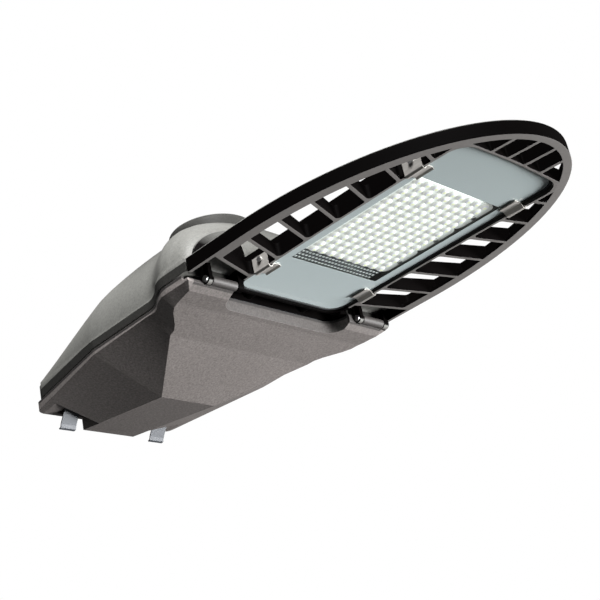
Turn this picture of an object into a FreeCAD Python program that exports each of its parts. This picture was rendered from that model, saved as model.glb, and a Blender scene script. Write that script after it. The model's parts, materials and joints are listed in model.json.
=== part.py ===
import FreeCAD, Part
import math
import os

Vector = FreeCAD.Vector

# Street light head. X runs from the pole socket to the nose, Z is up.
# Everything is drawn with the split plane of the gear compartment at z = 0
# and is saved with the axis of the pole socket at z = 0.

# Pole socket
POLE_DIAMETER = 60.0
POLE_AXIS_HEIGHT = 14.0
SOCKET_LENGTH = 96.0
SADDLE_WALL = 6.0
SADDLE_HALF_WIDTH = 52.0
SADDLE_PAD_HEIGHT = 20.0
SADDLE_WEB = 4.0
CLAMP_GAP = 2.0
POLE_PASSAGE = 1.5

# Plan of the gear compartment, as half widths of its rim
TAIL_HALF_WIDTH = 98.5
BREAK_X = 143.5
BREAK_HALF_WIDTH = 126.0
NECK_X = 239.0
NECK_HALF_WIDTH = 127.6
SHOULDER_X = 291.0
TAIL_CORNER_RADIUS = 18.0
DOOR_CORNER_RADIUS = 5.0

# Plan of the lamp head: two straight flanks and a half ellipse
HEAD_HALF_WIDTH = 148.0
HEAD_TAIL_X = 326.0
HEAD_MID_X = 397.0
NOSE_REACH = 268.5
RING_DROP = 2.4
RING_TOP = 14.1
LAMP_ROOF_HEIGHT = 22.0
SKIRT_WALL = 4.0
SKIRT_EDGE_RADIUS = 3.0
FLANGE_SIDE_WIDTH = 12.0
FLANGE_NOSE_WIDTH = 8.0
FLANGE_THICKNESS = 4.0

# Ribs between the lamp body and the ring
RIB_THICKNESS = 4.0
SIDE_RIB_FIRST_X = 342.5
SIDE_RIB_PITCH = 40.5
SIDE_RIB_COUNT = 7
SIDE_RIB_LEAN = 0.33
NOSE_RIB_PITCH = 25.5
NOSE_RIB_COUNT = 4
RIB_ROOT = 4.0
WIDE_CELL = 30.0
CELL_CORNER_RADIUS = 4.0
SMALL_CORNER_RADIUS = 1.6
HINGE_CELL_CEILING = 10.5
HINGE_CELL_DEPTH = 6.0
RING_TAIL_WALL = 4.0

# Glass and its seat
GLASS_CENTRE_X = 467.0
GLASS_LENGTH = 300.0
GLASS_WIDTH = 150.0
GLASS_THICKNESS = 3.2
GLASS_RECESS = 3.0
GLASS_CORNER_RADIUS = 18.0
GASKET_SIDE = 2.0
GASKET_THICKNESS = 1.0
GASKET_LEDGE = 4.5
FRAME_WALL = 3.0
LAMP_CEILING = 14.2
LAMP_ROOF_SETBACK = 28.0
LAMP_ROOM_SETBACK = 4.0

# Light engines
MODULE_COUNT = 3
MODULE_PITCH = 50.0
MODULE_CENTRE_X = 472.5
MODULE_LENGTH = 49.4
MODULE_WIDTH = 141.0
MODULE_CORNER_RADIUS = 7.0
PLATE_RIM = 2.5
PLATE_POST_RADIUS = 3.5
BOARD_INSET = 0.6
LENS_COLUMNS = 5
LENS_ROWS = 10
LENS_COLUMN_PITCH = 10.0
LENS_ROW_PITCH = 12.8
LENS_BASE_RADIUS = 4.5
LENS_TIP_RADIUS = 2.6
LENS_HEIGHT = 2.6
LENS_SIDES = 8
LENS_PLATE_THICKNESS = 2.2
LENS_PLATE_SKIN = 1.0
BOARD_THICKNESS = 1.6
CHIP_SIZE = 3.5
CHIP_HEIGHT = 0.8
LENS_SCREW_Y = 65.4
STRIP_LENGTH = 17.0
STRIP_GAP = 1.0
STRIP_ROWS = 3
STRIP_ROW_WIDTH = 2.8

# Cooling fins on the roof of the lamp body
PAN_DEPTH = 4.0
PAN_HALF_WIDTH = 62.0
PAN_MARGIN = 34.0
FIN_COUNT = 9
FIN_PITCH = 13.0
FIN_THICKNESS = 3.0
FIN_HEIGHT = 13.0
FIN_END_HEIGHT = 4.0
FIN_TAIL_SLOPE = 14.0
FIN_NOSE_SLOPE = 40.0
PAN_CORNER_RADIUS = 6.0

# Dome over the gear compartment
CASTING_WALL = 3.6
RIM_WALL = 5.0
BAND_HEIGHT = 8.0
BAND_TAIL_HEIGHT = 16.0
BAND_TAPER_X = 160.0
DOME_INSET = 2.0
DOME_FULLNESS = 2.15
DOME_CROWN_HEIGHT = 109.5
DOME_TAIL_HEIGHT = 47.5
DOME_TAIL_CURVE = 2.1
DOME_TAIL_FULLNESS = 1.8
DOME_FRONT_X = 340.0
DOME_START_X = 0.6
DOME_ARCH_STEPS = 12
DOME_REAR_STEPS = 14
DOME_NECK_STEPS = 6
DOME_FRONT_STEPS = 9
DOME_FRONT_MARGIN = 4.0
DOME_FRONT_CURVE = 3.0
DOME_FRONT_DROP = 0.6
DOME_SIDE_CURVE = 6.0
DOME_SIDE_DROP = 0.5
DOME_FRONT_CROWDING = 1.6
BULKHEAD_X = 294.0
BULKHEAD_WALL = 4.5
NOTCH_WIDTH = 2.5
NOTCH_DEPTH = 3.0

# Round boss on the dome, with a blanking plate over its hole
BOSS_X = 225.0
BOSS_RADIUS = 49.5
BOSS_TOP = 128.0
BOSS_WALL = 5.5
BOSS_HOLE_RADIUS = 21.0
BOSS_EDGE_RADIUS = 2.0
BOSS_ROOT_Z = 70.0
BOSS_ROOM_Z = 60.0
PLATE_RADIUS = 36.0
PLATE_THICKNESS = 3.0
PLATE_GASKET_THICKNESS = 1.0
PLATE_SCREW_CIRCLE = 29.0
PLATE_SCREW_COUNT = 3
PLATE_CHAMFER = 1.0

# Door of the gear compartment
DOOR_WALL = 3.0
DOOR_NECK_STEPS = 6
SEAM_GAP = 1.6
DOOR_FRONT_X = 324.0
DOOR_TAIL_DEPTH = 27.0
DOOR_KEEL_DEPTH = 44.4
DOOR_FRONT_DEPTH = 16.5
DOOR_EAR_DEPTH = 15.5
KEEL_X = 143.5
TAIL_FLAT_HALF_WIDTH = 37.0
KEEL_HALF_WIDTH = 38.9
NECK_RIDGE_HALF_WIDTH = 102.0
SHOULDER_RIDGE_HALF_WIDTH = 134.0
EAR_RIDGE_HALF_WIDTH = 139.0
DOOR_NECK_DEPTH = 23.4
DOOR_TAIL_FLANGE = 12.0
DOOR_KEEL_FLANGE = 8.0
DOOR_NECK_FLANGE = 6.0
DOOR_EAR_FLANGE = 10.3
BEVEL_X = 314.5
RECESS_X = 298.5
RECESS_HALF_WIDTH = 87.0
RECESS_CORNER_RADIUS = 19.0
PAD_LENGTH = 30.0
PAD_DEPTH = 13.7
EAR_SLOT_DEPTH = 8.0

# Hinges: both have the same hand, so the door lifts off sideways
HINGE_X = 327.0
HINGE_Z = -6.0
KNUCKLE_RADIUS = 5.0
HINGE_PIN_RADIUS = 2.5
RUNNING_CLEARANCE = 0.05
HINGE_SIDE_GAP = 0.5
HINGE_PIN_GRIP = 4.5
HINGE_SWEEP_GAP = 1.2
LUG_LENGTH = 5.0
KNUCKLE_LENGTH = 34.0
NEAR_KNUCKLE_Y = -120.5
FAR_KNUCKLE_Y = 103.0
PIN_HEAD_RADIUS = 3.6
PIN_HEAD_LENGTH = 2.0
PIN_HEAD_CLEARANCE = 0.6

# Latches at the tail
LATCH_INNER_Y = 55.0
LATCH_WIDTH = 21.0
LATCH_SHEET = 1.4
LATCH_PIVOT_X = 21.0
LATCH_PIVOT_Z = -10.2
LATCH_PIN_RADIUS = 1.5
LATCH_CURL_RADIUS = 2.9
POCKET_X = 6.0
POCKET_LENGTH = 24.0
POCKET_INNER_Y = 37.0
POCKET_OUTER_Y = 77.5
POCKET_CEILING = -5.5
LATCH_TIP_X = 8.5
LATCH_TIP_Z = -32.0
LATCH_NOSE_X = 12.0
LATCH_NOSE_Z = 5.5
CATCH_GAP = 0.4
CATCH_THICKNESS = 4.0
LATCH_SWING_GAP = 1.5

# Spring clips of the glass
CLIP_WIDTH = 21.0
CLIP_SHEET = 0.8
CLIP_GAP = 0.3
CLIP_ROOM_GAP = 1.5
CLIP_ROOM_DEPTH = 8.0
TAIL_CLIP_X = 361.0
NOSE_CLIP_X = 563.4
CLIP_SCREW_Z = 9.5

# Pole clamp
STRAP_WIDTH = 20.0
STRAP_SHEET = 4.0
STRAP_XS = (24.0, 72.0)
STRAP_EAR_REACH = 48.0
CLAMP_BOLT_RADIUS = 3.9
CLAMP_BOLT_HEAD_RADIUS = 7.5
CLAMP_BOLT_HEAD = 5.3
CLAMP_BOLT_LENGTH = 24.0
CLAMP_BOLT_CLEARANCE = 0.3
CLAMP_BOLT_SOCKET = 3.0
BOLT_Y = 41.0

# Gear tray and what it carries
TRAY_X = 106.0
TRAY_LENGTH = 178.0
TRAY_HALF_WIDTH = 72.0
TRAY_Z = 50.0
TRAY_SHEET = 1.5
TRAY_LIP = 8.0
POST_RADIUS = 6.0
POST_INSET = 12.0
DRIVER_X = 152.0
DRIVER_LENGTH = 122.0
DRIVER_Y = -56.0
DRIVER_WIDTH = 74.0
DRIVER_HEIGHT = 36.0
DRIVER_FOOT = 9.0
SURGE_X = 152.0
SURGE_LENGTH = 52.0
SURGE_Y = 30.0
SURGE_WIDTH = 32.0
SURGE_HEIGHT = 24.0
TERMINAL_X = 114.0
TERMINAL_LENGTH = 24.0
TERMINAL_WAYS = 6
TERMINAL_WAY_WIDTH = 12.0
TERMINAL_HEIGHT = 18.0

# Small fixings
SCREW_CLEARANCE = 0.1
M4_RADIUS = 2.0
M4_HEAD_RADIUS = 3.8
M4_HEAD = 2.4
M3_RADIUS = 1.5
M3_HEAD_RADIUS = 2.8
M3_HEAD = 1.8

# Cable gland, breather and earth screw on the bulkhead
GLAND_Y = 40.0
BREATHER_Y = -40.0
DUCT_Z = 10.8
DUCT_RADIUS = 3.0
DUCT_WALL = 5.0
GLAND_THREAD_RADIUS = 6.0
GLAND_HEX_RADIUS = 9.0
GLAND_LENGTH = 13.0
EARTH_X = 282.0
EARTH_Y = -104.0
EARTH_Z = 24.0

# Door seal
SEAL_WIDTH = 2.4
SEAL_INSET = 1.4
SEAL_DEPTH = 1.5
SEAL_PROUD = 1.3

# Values that follow from the sizes above
POLE_RADIUS = POLE_DIAMETER / 2
LAMP_BODY_HALF = GLASS_WIDTH / 2 + GASKET_SIDE + FRAME_WALL
LAMP_BODY_TAIL_X = GLASS_CENTRE_X - GLASS_LENGTH / 2 - GASKET_SIDE - FRAME_WALL
LAMP_BODY_NOSE_X = GLASS_CENTRE_X + GLASS_LENGTH / 2 + GASKET_SIDE + FRAME_WALL
LEDGE_Z = GLASS_RECESS + GLASS_THICKNESS + GASKET_THICKNESS
LENS_BASE_Z = LAMP_CEILING - BOARD_THICKNESS - LENS_PLATE_THICKNESS
BOARD_Z = LAMP_CEILING - BOARD_THICKNESS
LATCH_OUTER_Y = LATCH_INNER_Y + LATCH_WIDTH
LAMP_ROOF_NOSE_X = LAMP_BODY_NOSE_X - LAMP_ROOF_SETBACK
PAN_TAIL_X = LAMP_BODY_TAIL_X + PAN_MARGIN
PAN_NOSE_X = LAMP_ROOF_NOSE_X - PAN_MARGIN / 4
PAN_FLOOR_Z = LAMP_ROOF_HEIGHT - PAN_DEPTH
HINGE_CELL_TAIL_X = HEAD_TAIL_X - HINGE_CELL_DEPTH
BIG = 400.0


def blend(start, end, share):
    """Value part of the way from start to end."""
    return start + (end - start) * share


def at_station(x, stations):
    """Value at x on a polyline of (x, value) pairs."""
    for (x0, v0), (x1, v1) in zip(stations, stations[1:]):
        if x <= x1:
            return blend(v0, v1, (x - x0) / (x1 - x0))
    return stations[-1][1]


def box(x0, x1, y0, y1, z0, z1):
    """Block between two corners."""
    return Part.makeBox(x1 - x0, y1 - y0, z1 - z0, Vector(x0, y0, z0))


def bar(radius, start, end):
    """Round bar from one point to another."""
    return Part.makeCylinder(radius, start.distanceToPoint(end), start, end.sub(start))


def along_z(edge):
    """True for a straight edge parallel to Z."""
    if not isinstance(edge.Curve, (Part.Line, Part.LineSegment)):
        return False
    return abs(edge.tangentAt(edge.FirstParameter).z) > 0.999


def round_upright_edges(solid, radius, wanted=None):
    """Fillet the edges parallel to Z, all of them or those that wanted accepts."""
    edges = [e for e in solid.Edges if along_z(e)]
    if wanted:
        edges = [e for e in edges if wanted(e.CenterOfMass)]
    return solid.makeFillet(radius, edges)


def rounded_block(x0, x1, y0, y1, z0, z1, radius):
    """Block with round corners in plan."""
    return round_upright_edges(box(x0, x1, y0, y1, z0, z1), radius)


def plan_prism(points, z0, z1):
    """Polygon in plan, given as (x, y) pairs, raised from z0 to z1."""
    corners = [Vector(x, y, z0) for x, y in points]
    face = Part.Face(Part.makePolygon(corners + corners[:1]))
    return face.extrude(Vector(0, 0, z1 - z0))


def side_prism(points, y0, y1):
    """Polygon in the XZ plane, given as (x, z) pairs, drawn out from y0 to y1."""
    corners = [Vector(x, y0, z) for x, z in points]
    face = Part.Face(Part.makePolygon(corners + corners[:1]))
    return face.extrude(Vector(0, y1 - y0, 0))


def fused(shapes):
    """One shape from several that touch."""
    return shapes[0].fuse(shapes[1:]).removeSplitter()


def joined(shapes):
    """One shape from several, added one after the other."""
    whole = shapes[0]
    for shape in shapes[1:]:
        whole = whole.fuse(shape)
    return whole


def opened(whole, tools):
    """Shape with every tool cut out of it, one after the other."""
    for tool in tools:
        whole = whole.cut(tool)
    return whole


def group(shapes):
    """Separate solids kept in one node."""
    return Part.makeCompound(shapes)


def folded_strip(points, sheet, place, sweep):
    """Bent sheet: a line of points given a thickness, set in space by place and drawn out by sweep."""
    pieces = []
    half = sheet / 2
    for (u0, v0), (u1, v1) in zip(points, points[1:]):
        length = math.hypot(u1 - u0, v1 - v0)
        nu = -(v1 - v0) / length * half
        nv = (u1 - u0) / length * half
        corners = [place(u0 + nu, v0 + nv), place(u1 + nu, v1 + nv)]
        corners += [place(u1 - nu, v1 - nv), place(u0 - nu, v0 - nv)]
        pieces.append(Part.Face(Part.makePolygon(corners + corners[:1])).extrude(sweep))
    for u, v in points[1:-1]:
        circle = Part.Circle(place(u, v), sweep, half)
        pieces.append(Part.Face(Part.Wire(circle.toShape())).extrude(sweep))
    return fused(pieces)


def screw(head_point, direction, radius, length, head_radius, head_length):
    """Pan head screw: the head stands out against the direction, the shank goes along it."""
    tip = head_point.add(direction * length)
    back = head_point.sub(direction * head_length)
    head = bar(head_radius, back, head_point)
    return fused([head, bar(radius, head_point, tip)])


def mirrored(solid):
    """The same solid on the other side of the middle plane."""
    return solid.mirror(Vector(0, 0, 0), Vector(0, 1, 0))


def compartment_prism(inset, tail_x, front_x, z0, z1, corner=TAIL_CORNER_RADIUS):
    """Plan of the gear compartment drawn inside its rim by inset, from tail_x to front_x."""
    tail = at_station(tail_x, RIM_STATIONS) - inset
    brk = BREAK_HALF_WIDTH - inset
    neck = NECK_HALF_WIDTH - inset
    head = HEAD_HALF_WIDTH - inset
    middle_x = (NECK_X + SHOULDER_X) / 2
    edges = []
    for side in (1, -1):
        line = [(tail_x, tail), (BREAK_X, brk), (NECK_X, neck)]
        edges.append(Part.makePolygon([Vector(x, side * y, z0) for x, y in line]))
        curve = Part.BezierCurve()
        curve.setPoles([
            Vector(NECK_X, side * neck, z0),
            Vector(middle_x, side * neck, z0),
            Vector(middle_x, side * head, z0),
            Vector(SHOULDER_X, side * head, z0),
        ])
        edges.append(curve.toShape())
        edges.append(Part.makeLine(Vector(SHOULDER_X, side * head, z0), Vector(front_x, side * head, z0)))
    edges.append(Part.makeLine(Vector(tail_x, -tail, z0), Vector(tail_x, tail, z0)))
    edges.append(Part.makeLine(Vector(front_x, -head, z0), Vector(front_x, head, z0)))
    flat = [e for shape in edges for e in shape.Edges]
    wire = Part.Wire(Part.__sortEdges__(flat))
    prism = Part.Face(wire).extrude(Vector(0, 0, z1 - z0))
    radius = max(corner - inset, SMALL_CORNER_RADIUS)
    return round_upright_edges(prism, radius, lambda c: c.x < tail_x + 1)


RIM_STATIONS = [(0.0, TAIL_HALF_WIDTH), (BREAK_X, BREAK_HALF_WIDTH), (NECK_X, NECK_HALF_WIDTH)]


def rim_half_width(x):
    """Half width of the rim at x, with the round shoulder in front of the neck."""
    if x <= NECK_X:
        return at_station(x, RIM_STATIONS)
    share = min((x - NECK_X) / (SHOULDER_X - NECK_X), 1.0)
    return blend(NECK_HALF_WIDTH, HEAD_HALF_WIDTH, (1 - math.cos(math.pi * share)) / 2)


# Dome


def crown_height(x):
    """Height of the dome's middle line: up from the tail, level, then down to the head."""
    if x < BOSS_X:
        share = 1 - x / BOSS_X
        return DOME_CROWN_HEIGHT - (DOME_CROWN_HEIGHT - DOME_TAIL_HEIGHT) * share ** DOME_TAIL_CURVE
    share = (x - BOSS_X) / (DOME_FRONT_X + DOME_FRONT_MARGIN - BOSS_X)
    rise = DOME_CROWN_HEIGHT - LAMP_ROOF_HEIGHT
    return LAMP_ROOF_HEIGHT + rise * (1 - share ** DOME_FRONT_CURVE) ** DOME_FRONT_DROP


def dome_half_width(x):
    """Half width of the dome's foot, which closes in round the front."""
    width = rim_half_width(x) - DOME_INSET
    if x > SHOULDER_X:
        share = (x - SHOULDER_X) / (DOME_FRONT_X + DOME_FRONT_MARGIN - SHOULDER_X)
        width *= (1 - share ** DOME_SIDE_CURVE) ** DOME_SIDE_DROP
    return width


def band_height(x):
    """Height of the upright band round the rim, which grows towards the tail."""
    share = max(0.0, 1 - x / BAND_TAPER_X)
    return blend(BAND_HEIGHT, BAND_TAIL_HEIGHT, share)


def dome_section(x, wall, floor):
    """Upright section of the dome: two short sides and a full arch, drawn inside by wall."""
    half = dome_half_width(x) - wall
    foot = band_height(x)
    rise = crown_height(x) - wall - foot
    fullness = blend(DOME_TAIL_FULLNESS, DOME_FULLNESS, min(x / BREAK_X, 1.0))
    arch = []
    for k in range(DOME_ARCH_STEPS + 1):
        angle = math.pi * k / DOME_ARCH_STEPS
        c, s = math.cos(angle), math.sin(angle)
        y = half * math.copysign(abs(c) ** (2 / fullness), c)
        arch.append(Vector(x, y, foot + rise * abs(s) ** (2 / fullness)))
    curve = Part.BSplineCurve()
    curve.interpolate(arch)
    low = [Vector(x, half, floor), Vector(x, -half, floor)]
    lines = [(arch[-1], low[1]), (low[1], low[0]), (low[0], arch[0])]
    return Part.Wire([curve.toShape()] + [Part.makeLine(start, end) for start, end in lines])


def dome_solid(wall, floor, first_x, last_x):
    """Solid dome through upright sections that stand closer together where it bends."""
    stations = [blend(first_x, NECK_X, k / DOME_REAR_STEPS) for k in range(DOME_REAR_STEPS)]
    stations += [blend(NECK_X, SHOULDER_X, k / DOME_NECK_STEPS) for k in range(DOME_NECK_STEPS)]
    for k in range(DOME_FRONT_STEPS + 1):
        left = (1 - k / DOME_FRONT_STEPS) ** DOME_FRONT_CROWDING
        stations.append(blend(last_x, SHOULDER_X, left))
    return Part.makeLoft([dome_section(x, wall, floor) for x in stations], True, True)


def band_solid():
    """Upright band round the compartment's rim, higher at the tail and at the shoulders."""
    prism = compartment_prism(0, 0, HEAD_TAIL_X, 0, BAND_TAIL_HEIGHT)
    top = [
        (-1, BAND_TAIL_HEIGHT), (BAND_TAPER_X, BAND_HEIGHT), (NECK_X, BAND_HEIGHT),
        (SHOULDER_X, RING_TOP), (HEAD_TAIL_X, RING_TOP), (HEAD_TAIL_X, BIG), (-1, BIG),
    ]
    return prism.cut(side_prism(top, -BIG, BIG))


def dome_outside():
    """Outside of the dome, with the corners of its tail rounded in plan."""
    plan = compartment_prism(DOME_INSET, DOME_START_X, BIG, 0, BIG)
    return dome_solid(0, 0, DOME_START_X, DOME_FRONT_X).common(plan)


def dome_core():
    """Dome up to the middle of its wall, which trims what stands inside it."""
    return dome_solid(CASTING_WALL / 2, 0, DOME_START_X, DOME_FRONT_X)


def gear_room():
    """Room inside the rim and the dome."""
    plan = compartment_prism(RIM_WALL, RIM_WALL, BIG, -1, BIG)
    return dome_solid(CASTING_WALL, -1, RIM_WALL, DOME_FRONT_X - CASTING_WALL).common(plan)


def bulkhead():
    """Upright wall that closes the gear compartment towards the lamp."""
    return box(BULKHEAD_X, BULKHEAD_X + BULKHEAD_WALL, -BIG, BIG, 0, BIG)


def boss_outside():
    """Round boss on the dome."""
    boss = bar(BOSS_RADIUS, Vector(BOSS_X, 0, BOSS_ROOT_Z), Vector(BOSS_X, 0, BOSS_TOP))
    rim = [e for e in boss.Edges if e.BoundBox.ZMin > BOSS_TOP - 0.01]
    return boss.makeFillet(BOSS_EDGE_RADIUS, rim)


def boss_room():
    """Hollow of the boss and the hole in its top."""
    low = Vector(BOSS_X, 0, BOSS_ROOM_Z)
    room = bar(BOSS_RADIUS - BOSS_WALL, low, Vector(BOSS_X, 0, BOSS_TOP - BOSS_WALL))
    return room.fuse(bar(BOSS_HOLE_RADIUS, low, Vector(BOSS_X, 0, BOSS_TOP + 1)))


def plate_screw_points():
    """Centres of the screws in the blanking plate."""
    turns = [2 * math.pi * k / PLATE_SCREW_COUNT for k in range(PLATE_SCREW_COUNT)]
    return [(BOSS_X + PLATE_SCREW_CIRCLE * math.cos(t), PLATE_SCREW_CIRCLE * math.sin(t)) for t in turns]


# Lamp head: ring, ribs and lamp body


def head_outline(side_inset, nose_inset, tail_x, z):
    """Outline of the lamp head drawn inside by the insets: straight flanks and a half ellipse."""
    half = HEAD_HALF_WIDTH - side_inset
    reach = NOSE_REACH - nose_inset
    ellipse = Part.Ellipse(Vector(HEAD_MID_X, 0, z), reach, half)
    nose = Part.Arc(ellipse, -math.pi / 2, math.pi / 2).toShape()
    edges = [
        Part.makeLine(Vector(tail_x, -half, z), Vector(HEAD_MID_X, -half, z)),
        nose,
        Part.makeLine(Vector(HEAD_MID_X, half, z), Vector(tail_x, half, z)),
        Part.makeLine(Vector(tail_x, half, z), Vector(tail_x, -half, z)),
    ]
    return Part.Wire(edges)


def head_prism(side_inset, nose_inset, tail_x, z0, z1):
    """Lamp head outline, drawn inside by the insets, raised from z0 to z1."""
    wire = head_outline(side_inset, nose_inset, tail_x, z0)
    return Part.Face(wire).extrude(Vector(0, 0, z1 - z0))


def rib_slope():
    """Space under the ribs, which rise from the flange to the frame of the lamp body."""
    side = HEAD_HALF_WIDTH - LAMP_BODY_HALF
    nose = HEAD_MID_X + NOSE_REACH - LAMP_BODY_NOSE_X
    low = head_outline(FLANGE_SIDE_WIDTH, FLANGE_NOSE_WIDTH, HEAD_TAIL_X - 8, -RING_DROP)
    high = head_outline(side, nose, HEAD_TAIL_X - 8, 0)
    return Part.makeLoft([low, high], True, True)


def clip_rooms():
    """Space for the clips near the nose, where the slope reaches under the frame."""
    reach = CLIP_WIDTH / 2 + CLIP_ROOM_GAP
    inner = LAMP_BODY_HALF - CLIP_ROOM_DEPTH
    low = -RING_DROP - 1
    room = box(NOSE_CLIP_X - reach, NOSE_CLIP_X + reach, inner, LAMP_BODY_HALF + 1, low, 0)
    return [room, mirrored(room)]


def lamp_block():
    """Outside of the lamp body, whose roof ends before the nose."""
    radius = GLASS_CORNER_RADIUS + GASKET_SIDE + FRAME_WALL
    half = LAMP_BODY_HALF
    return rounded_block(LAMP_BODY_TAIL_X, LAMP_ROOF_NOSE_X, -half, half, 0, LAMP_ROOF_HEIGHT, radius)


def lamp_room():
    """Room of the light modules above the ledge of the glass."""
    x0 = LAMP_BODY_TAIL_X + FRAME_WALL + GASKET_LEDGE
    x1 = LAMP_ROOF_NOSE_X - LAMP_ROOM_SETBACK
    half = LAMP_BODY_HALF - FRAME_WALL - GASKET_LEDGE
    radius = GLASS_CORNER_RADIUS + GASKET_SIDE - GASKET_LEDGE
    return rounded_block(x0, x1, -half, half, LEDGE_Z - 0.5, LAMP_CEILING, radius)


def side_rib(index, z0, z1):
    """Slanted rib from the lamp body to the ring, on the +Y side."""
    root = SIDE_RIB_FIRST_X + SIDE_RIB_PITCH * index
    near = LAMP_BODY_HALF - RIB_ROOT
    far = HEAD_HALF_WIDTH + RIB_ROOT
    half = RIB_THICKNESS / 2 * math.hypot(1, SIDE_RIB_LEAN)
    low = root - RIB_ROOT * SIDE_RIB_LEAN
    high = root + (far - LAMP_BODY_HALF) * SIDE_RIB_LEAN
    corners = [(low - half, near), (low + half, near), (high + half, far), (high - half, far)]
    return plan_prism(corners, z0, z1)


def nose_rib(index, z0, z1):
    """Straight rib from the lamp body to the nose of the ring."""
    y = (index - (NOSE_RIB_COUNT - 1) / 2) * NOSE_RIB_PITCH
    half = RIB_THICKNESS / 2
    return box(LAMP_BODY_NOSE_X - 2, HEAD_MID_X + NOSE_REACH, y - half, y + half, z0, z1)


def cells(side_inset, nose_inset, z0, z1):
    """Openings between the ribs, with round corners in plan."""
    zone = head_prism(side_inset, nose_inset, HEAD_TAIL_X - 8, z0, z1)
    first = side_rib(0, z0, z1)
    tools = [box(HEAD_TAIL_X - 20, LAMP_BODY_NOSE_X, -LAMP_BODY_HALF, LAMP_BODY_HALF, z0, z1)]
    for index in range(SIDE_RIB_COUNT):
        rib = side_rib(index, z0, z1)
        tools += [rib, mirrored(rib)]
    tools += [nose_rib(index, z0, z1) for index in range(NOSE_RIB_COUNT)]
    pieces = zone.cut(tools).Solids
    rounded = []
    for piece in pieces:
        if piece.BoundBox.XMax < first.BoundBox.XMax and piece.BoundBox.XMin < HEAD_TAIL_X:
            continue
        width = min(piece.BoundBox.XLength, piece.BoundBox.YLength)
        radius = CELL_CORNER_RADIUS if width > WIDE_CELL else SMALL_CORNER_RADIUS
        rounded.append(round_upright_edges(piece, radius))
    return rounded


def hinge_cell(side):
    """Pocket behind the first rib, closed on top, where a hinge sits."""
    far = HEAD_HALF_WIDTH - SKIRT_WALL
    half = RIB_THICKNESS / 2 * math.hypot(1, SIDE_RIB_LEAN)
    tail = HINGE_CELL_TAIL_X
    root = SIDE_RIB_FIRST_X - half
    lean = (far - LAMP_BODY_HALF) * SIDE_RIB_LEAN
    points = [(tail, LAMP_BODY_HALF), (root, LAMP_BODY_HALF), (root + lean, far), (tail, far)]
    pocket = plan_prism(points, -RING_DROP - 1, HINGE_CELL_CEILING)
    return pocket if side > 0 else mirrored(pocket)


def hinge_cell_walls():
    """Tail wall and roof of both hinge pockets, behind the ring."""
    far = HEAD_HALF_WIDTH - RIM_WALL
    wall_x = HINGE_CELL_TAIL_X - RING_TAIL_WALL
    walls = []
    for y0, y1 in ((LAMP_BODY_HALF - 1, far), (-far, 1 - LAMP_BODY_HALF)):
        walls.append(box(wall_x, HINGE_CELL_TAIL_X, y0, y1, 0, RING_TOP))
        walls.append(box(HINGE_CELL_TAIL_X, HEAD_TAIL_X, y0, y1, HINGE_CELL_CEILING, RING_TOP))
    return walls


def head_block():
    """Ring, ribs and the space between them before it is opened."""
    block = head_prism(0, 0, HEAD_TAIL_X, -RING_DROP, RING_TOP)
    top = [e for e in block.Edges if e.BoundBox.ZMin > RING_TOP - 0.01]
    block = block.makeFillet(SKIRT_EDGE_RADIUS, [e for e in top if e.BoundBox.XMax > HEAD_TAIL_X + 1])
    return block.cut(rib_slope()).cut(clip_rooms())


def glass_recess(z0, z1, shrink):
    """Recess of the glass and its gasket, drawn inside by shrink."""
    half_length = GLASS_LENGTH / 2 + GASKET_SIDE - shrink
    half_width = GLASS_WIDTH / 2 + GASKET_SIDE - shrink
    radius = GLASS_CORNER_RADIUS + GASKET_SIDE - shrink
    x0 = GLASS_CENTRE_X - half_length
    x1 = GLASS_CENTRE_X + half_length
    return rounded_block(x0, x1, -half_width, half_width, z0, z1, radius)


def fins():
    """Cooling fins standing in a pan on top of the lamp body."""
    x0 = PAN_TAIL_X
    x1 = PAN_NOSE_X
    floor = PAN_FLOOR_Z
    blades = []
    for index in range(FIN_COUNT):
        y = (index - (FIN_COUNT - 1) / 2) * FIN_PITCH
        top = floor + FIN_HEIGHT
        profile = [
            (x0, floor), (x1, floor), (x1, floor + FIN_END_HEIGHT), (x1 - FIN_NOSE_SLOPE, top),
            (x0 + FIN_TAIL_SLOPE, top), (x0, floor + FIN_END_HEIGHT),
        ]
        blades.append(side_prism(profile, y - FIN_THICKNESS / 2, y + FIN_THICKNESS / 2))
    return blades


def fin_pan():
    """Shallow pan in the roof of the lamp body."""
    half = PAN_HALF_WIDTH
    top = LAMP_ROOF_HEIGHT + 1
    return rounded_block(PAN_TAIL_X, PAN_NOSE_X, -half, half, PAN_FLOOR_Z, top, PAN_CORNER_RADIUS)


# Pole socket


def saddle():
    """Upper half of the pole socket, with a pad on each side of both straps and two webs to the dome."""
    bottom = POLE_AXIS_HEIGHT + CLAMP_GAP
    top = POLE_AXIS_HEIGHT + POLE_RADIUS + SADDLE_WALL
    half = POLE_RADIUS + SADDLE_WALL
    axis_start = Vector(1, 0, POLE_AXIS_HEIGHT)
    axis_end = Vector(SOCKET_LENGTH, 0, POLE_AXIS_HEIGHT)
    tube = bar(half, axis_start, axis_end).common(box(0, SOCKET_LENGTH, -half, half, bottom, top))
    pieces = [tube]
    for x in STRAP_XS:
        reach = STRAP_WIDTH / 2 + CLAMP_GAP
        pad_top = bottom + SADDLE_PAD_HEIGHT
        pieces.append(box(x - reach, x + reach, -SADDLE_HALF_WIDTH, SADDLE_HALF_WIDTH, bottom, pad_top))
    for side in (-1, 1):
        y = side * (POLE_RADIUS - SADDLE_WALL)
        low = POLE_AXIS_HEIGHT + POLE_RADIUS * 2 / 3
        pieces.append(box(1, SOCKET_LENGTH, y - SADDLE_WEB / 2, y + SADDLE_WEB / 2, low, BIG))
    return pieces


def pole_bore(radius, x0, x1):
    """Space that the pole takes up."""
    return bar(radius, Vector(x0, 0, POLE_AXIS_HEIGHT), Vector(x1, 0, POLE_AXIS_HEIGHT))


def clamp_bolt_points():
    """Centres of the clamp bolts in plan."""
    return [(x, side * BOLT_Y) for x in STRAP_XS for side in (-1, 1)]


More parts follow.
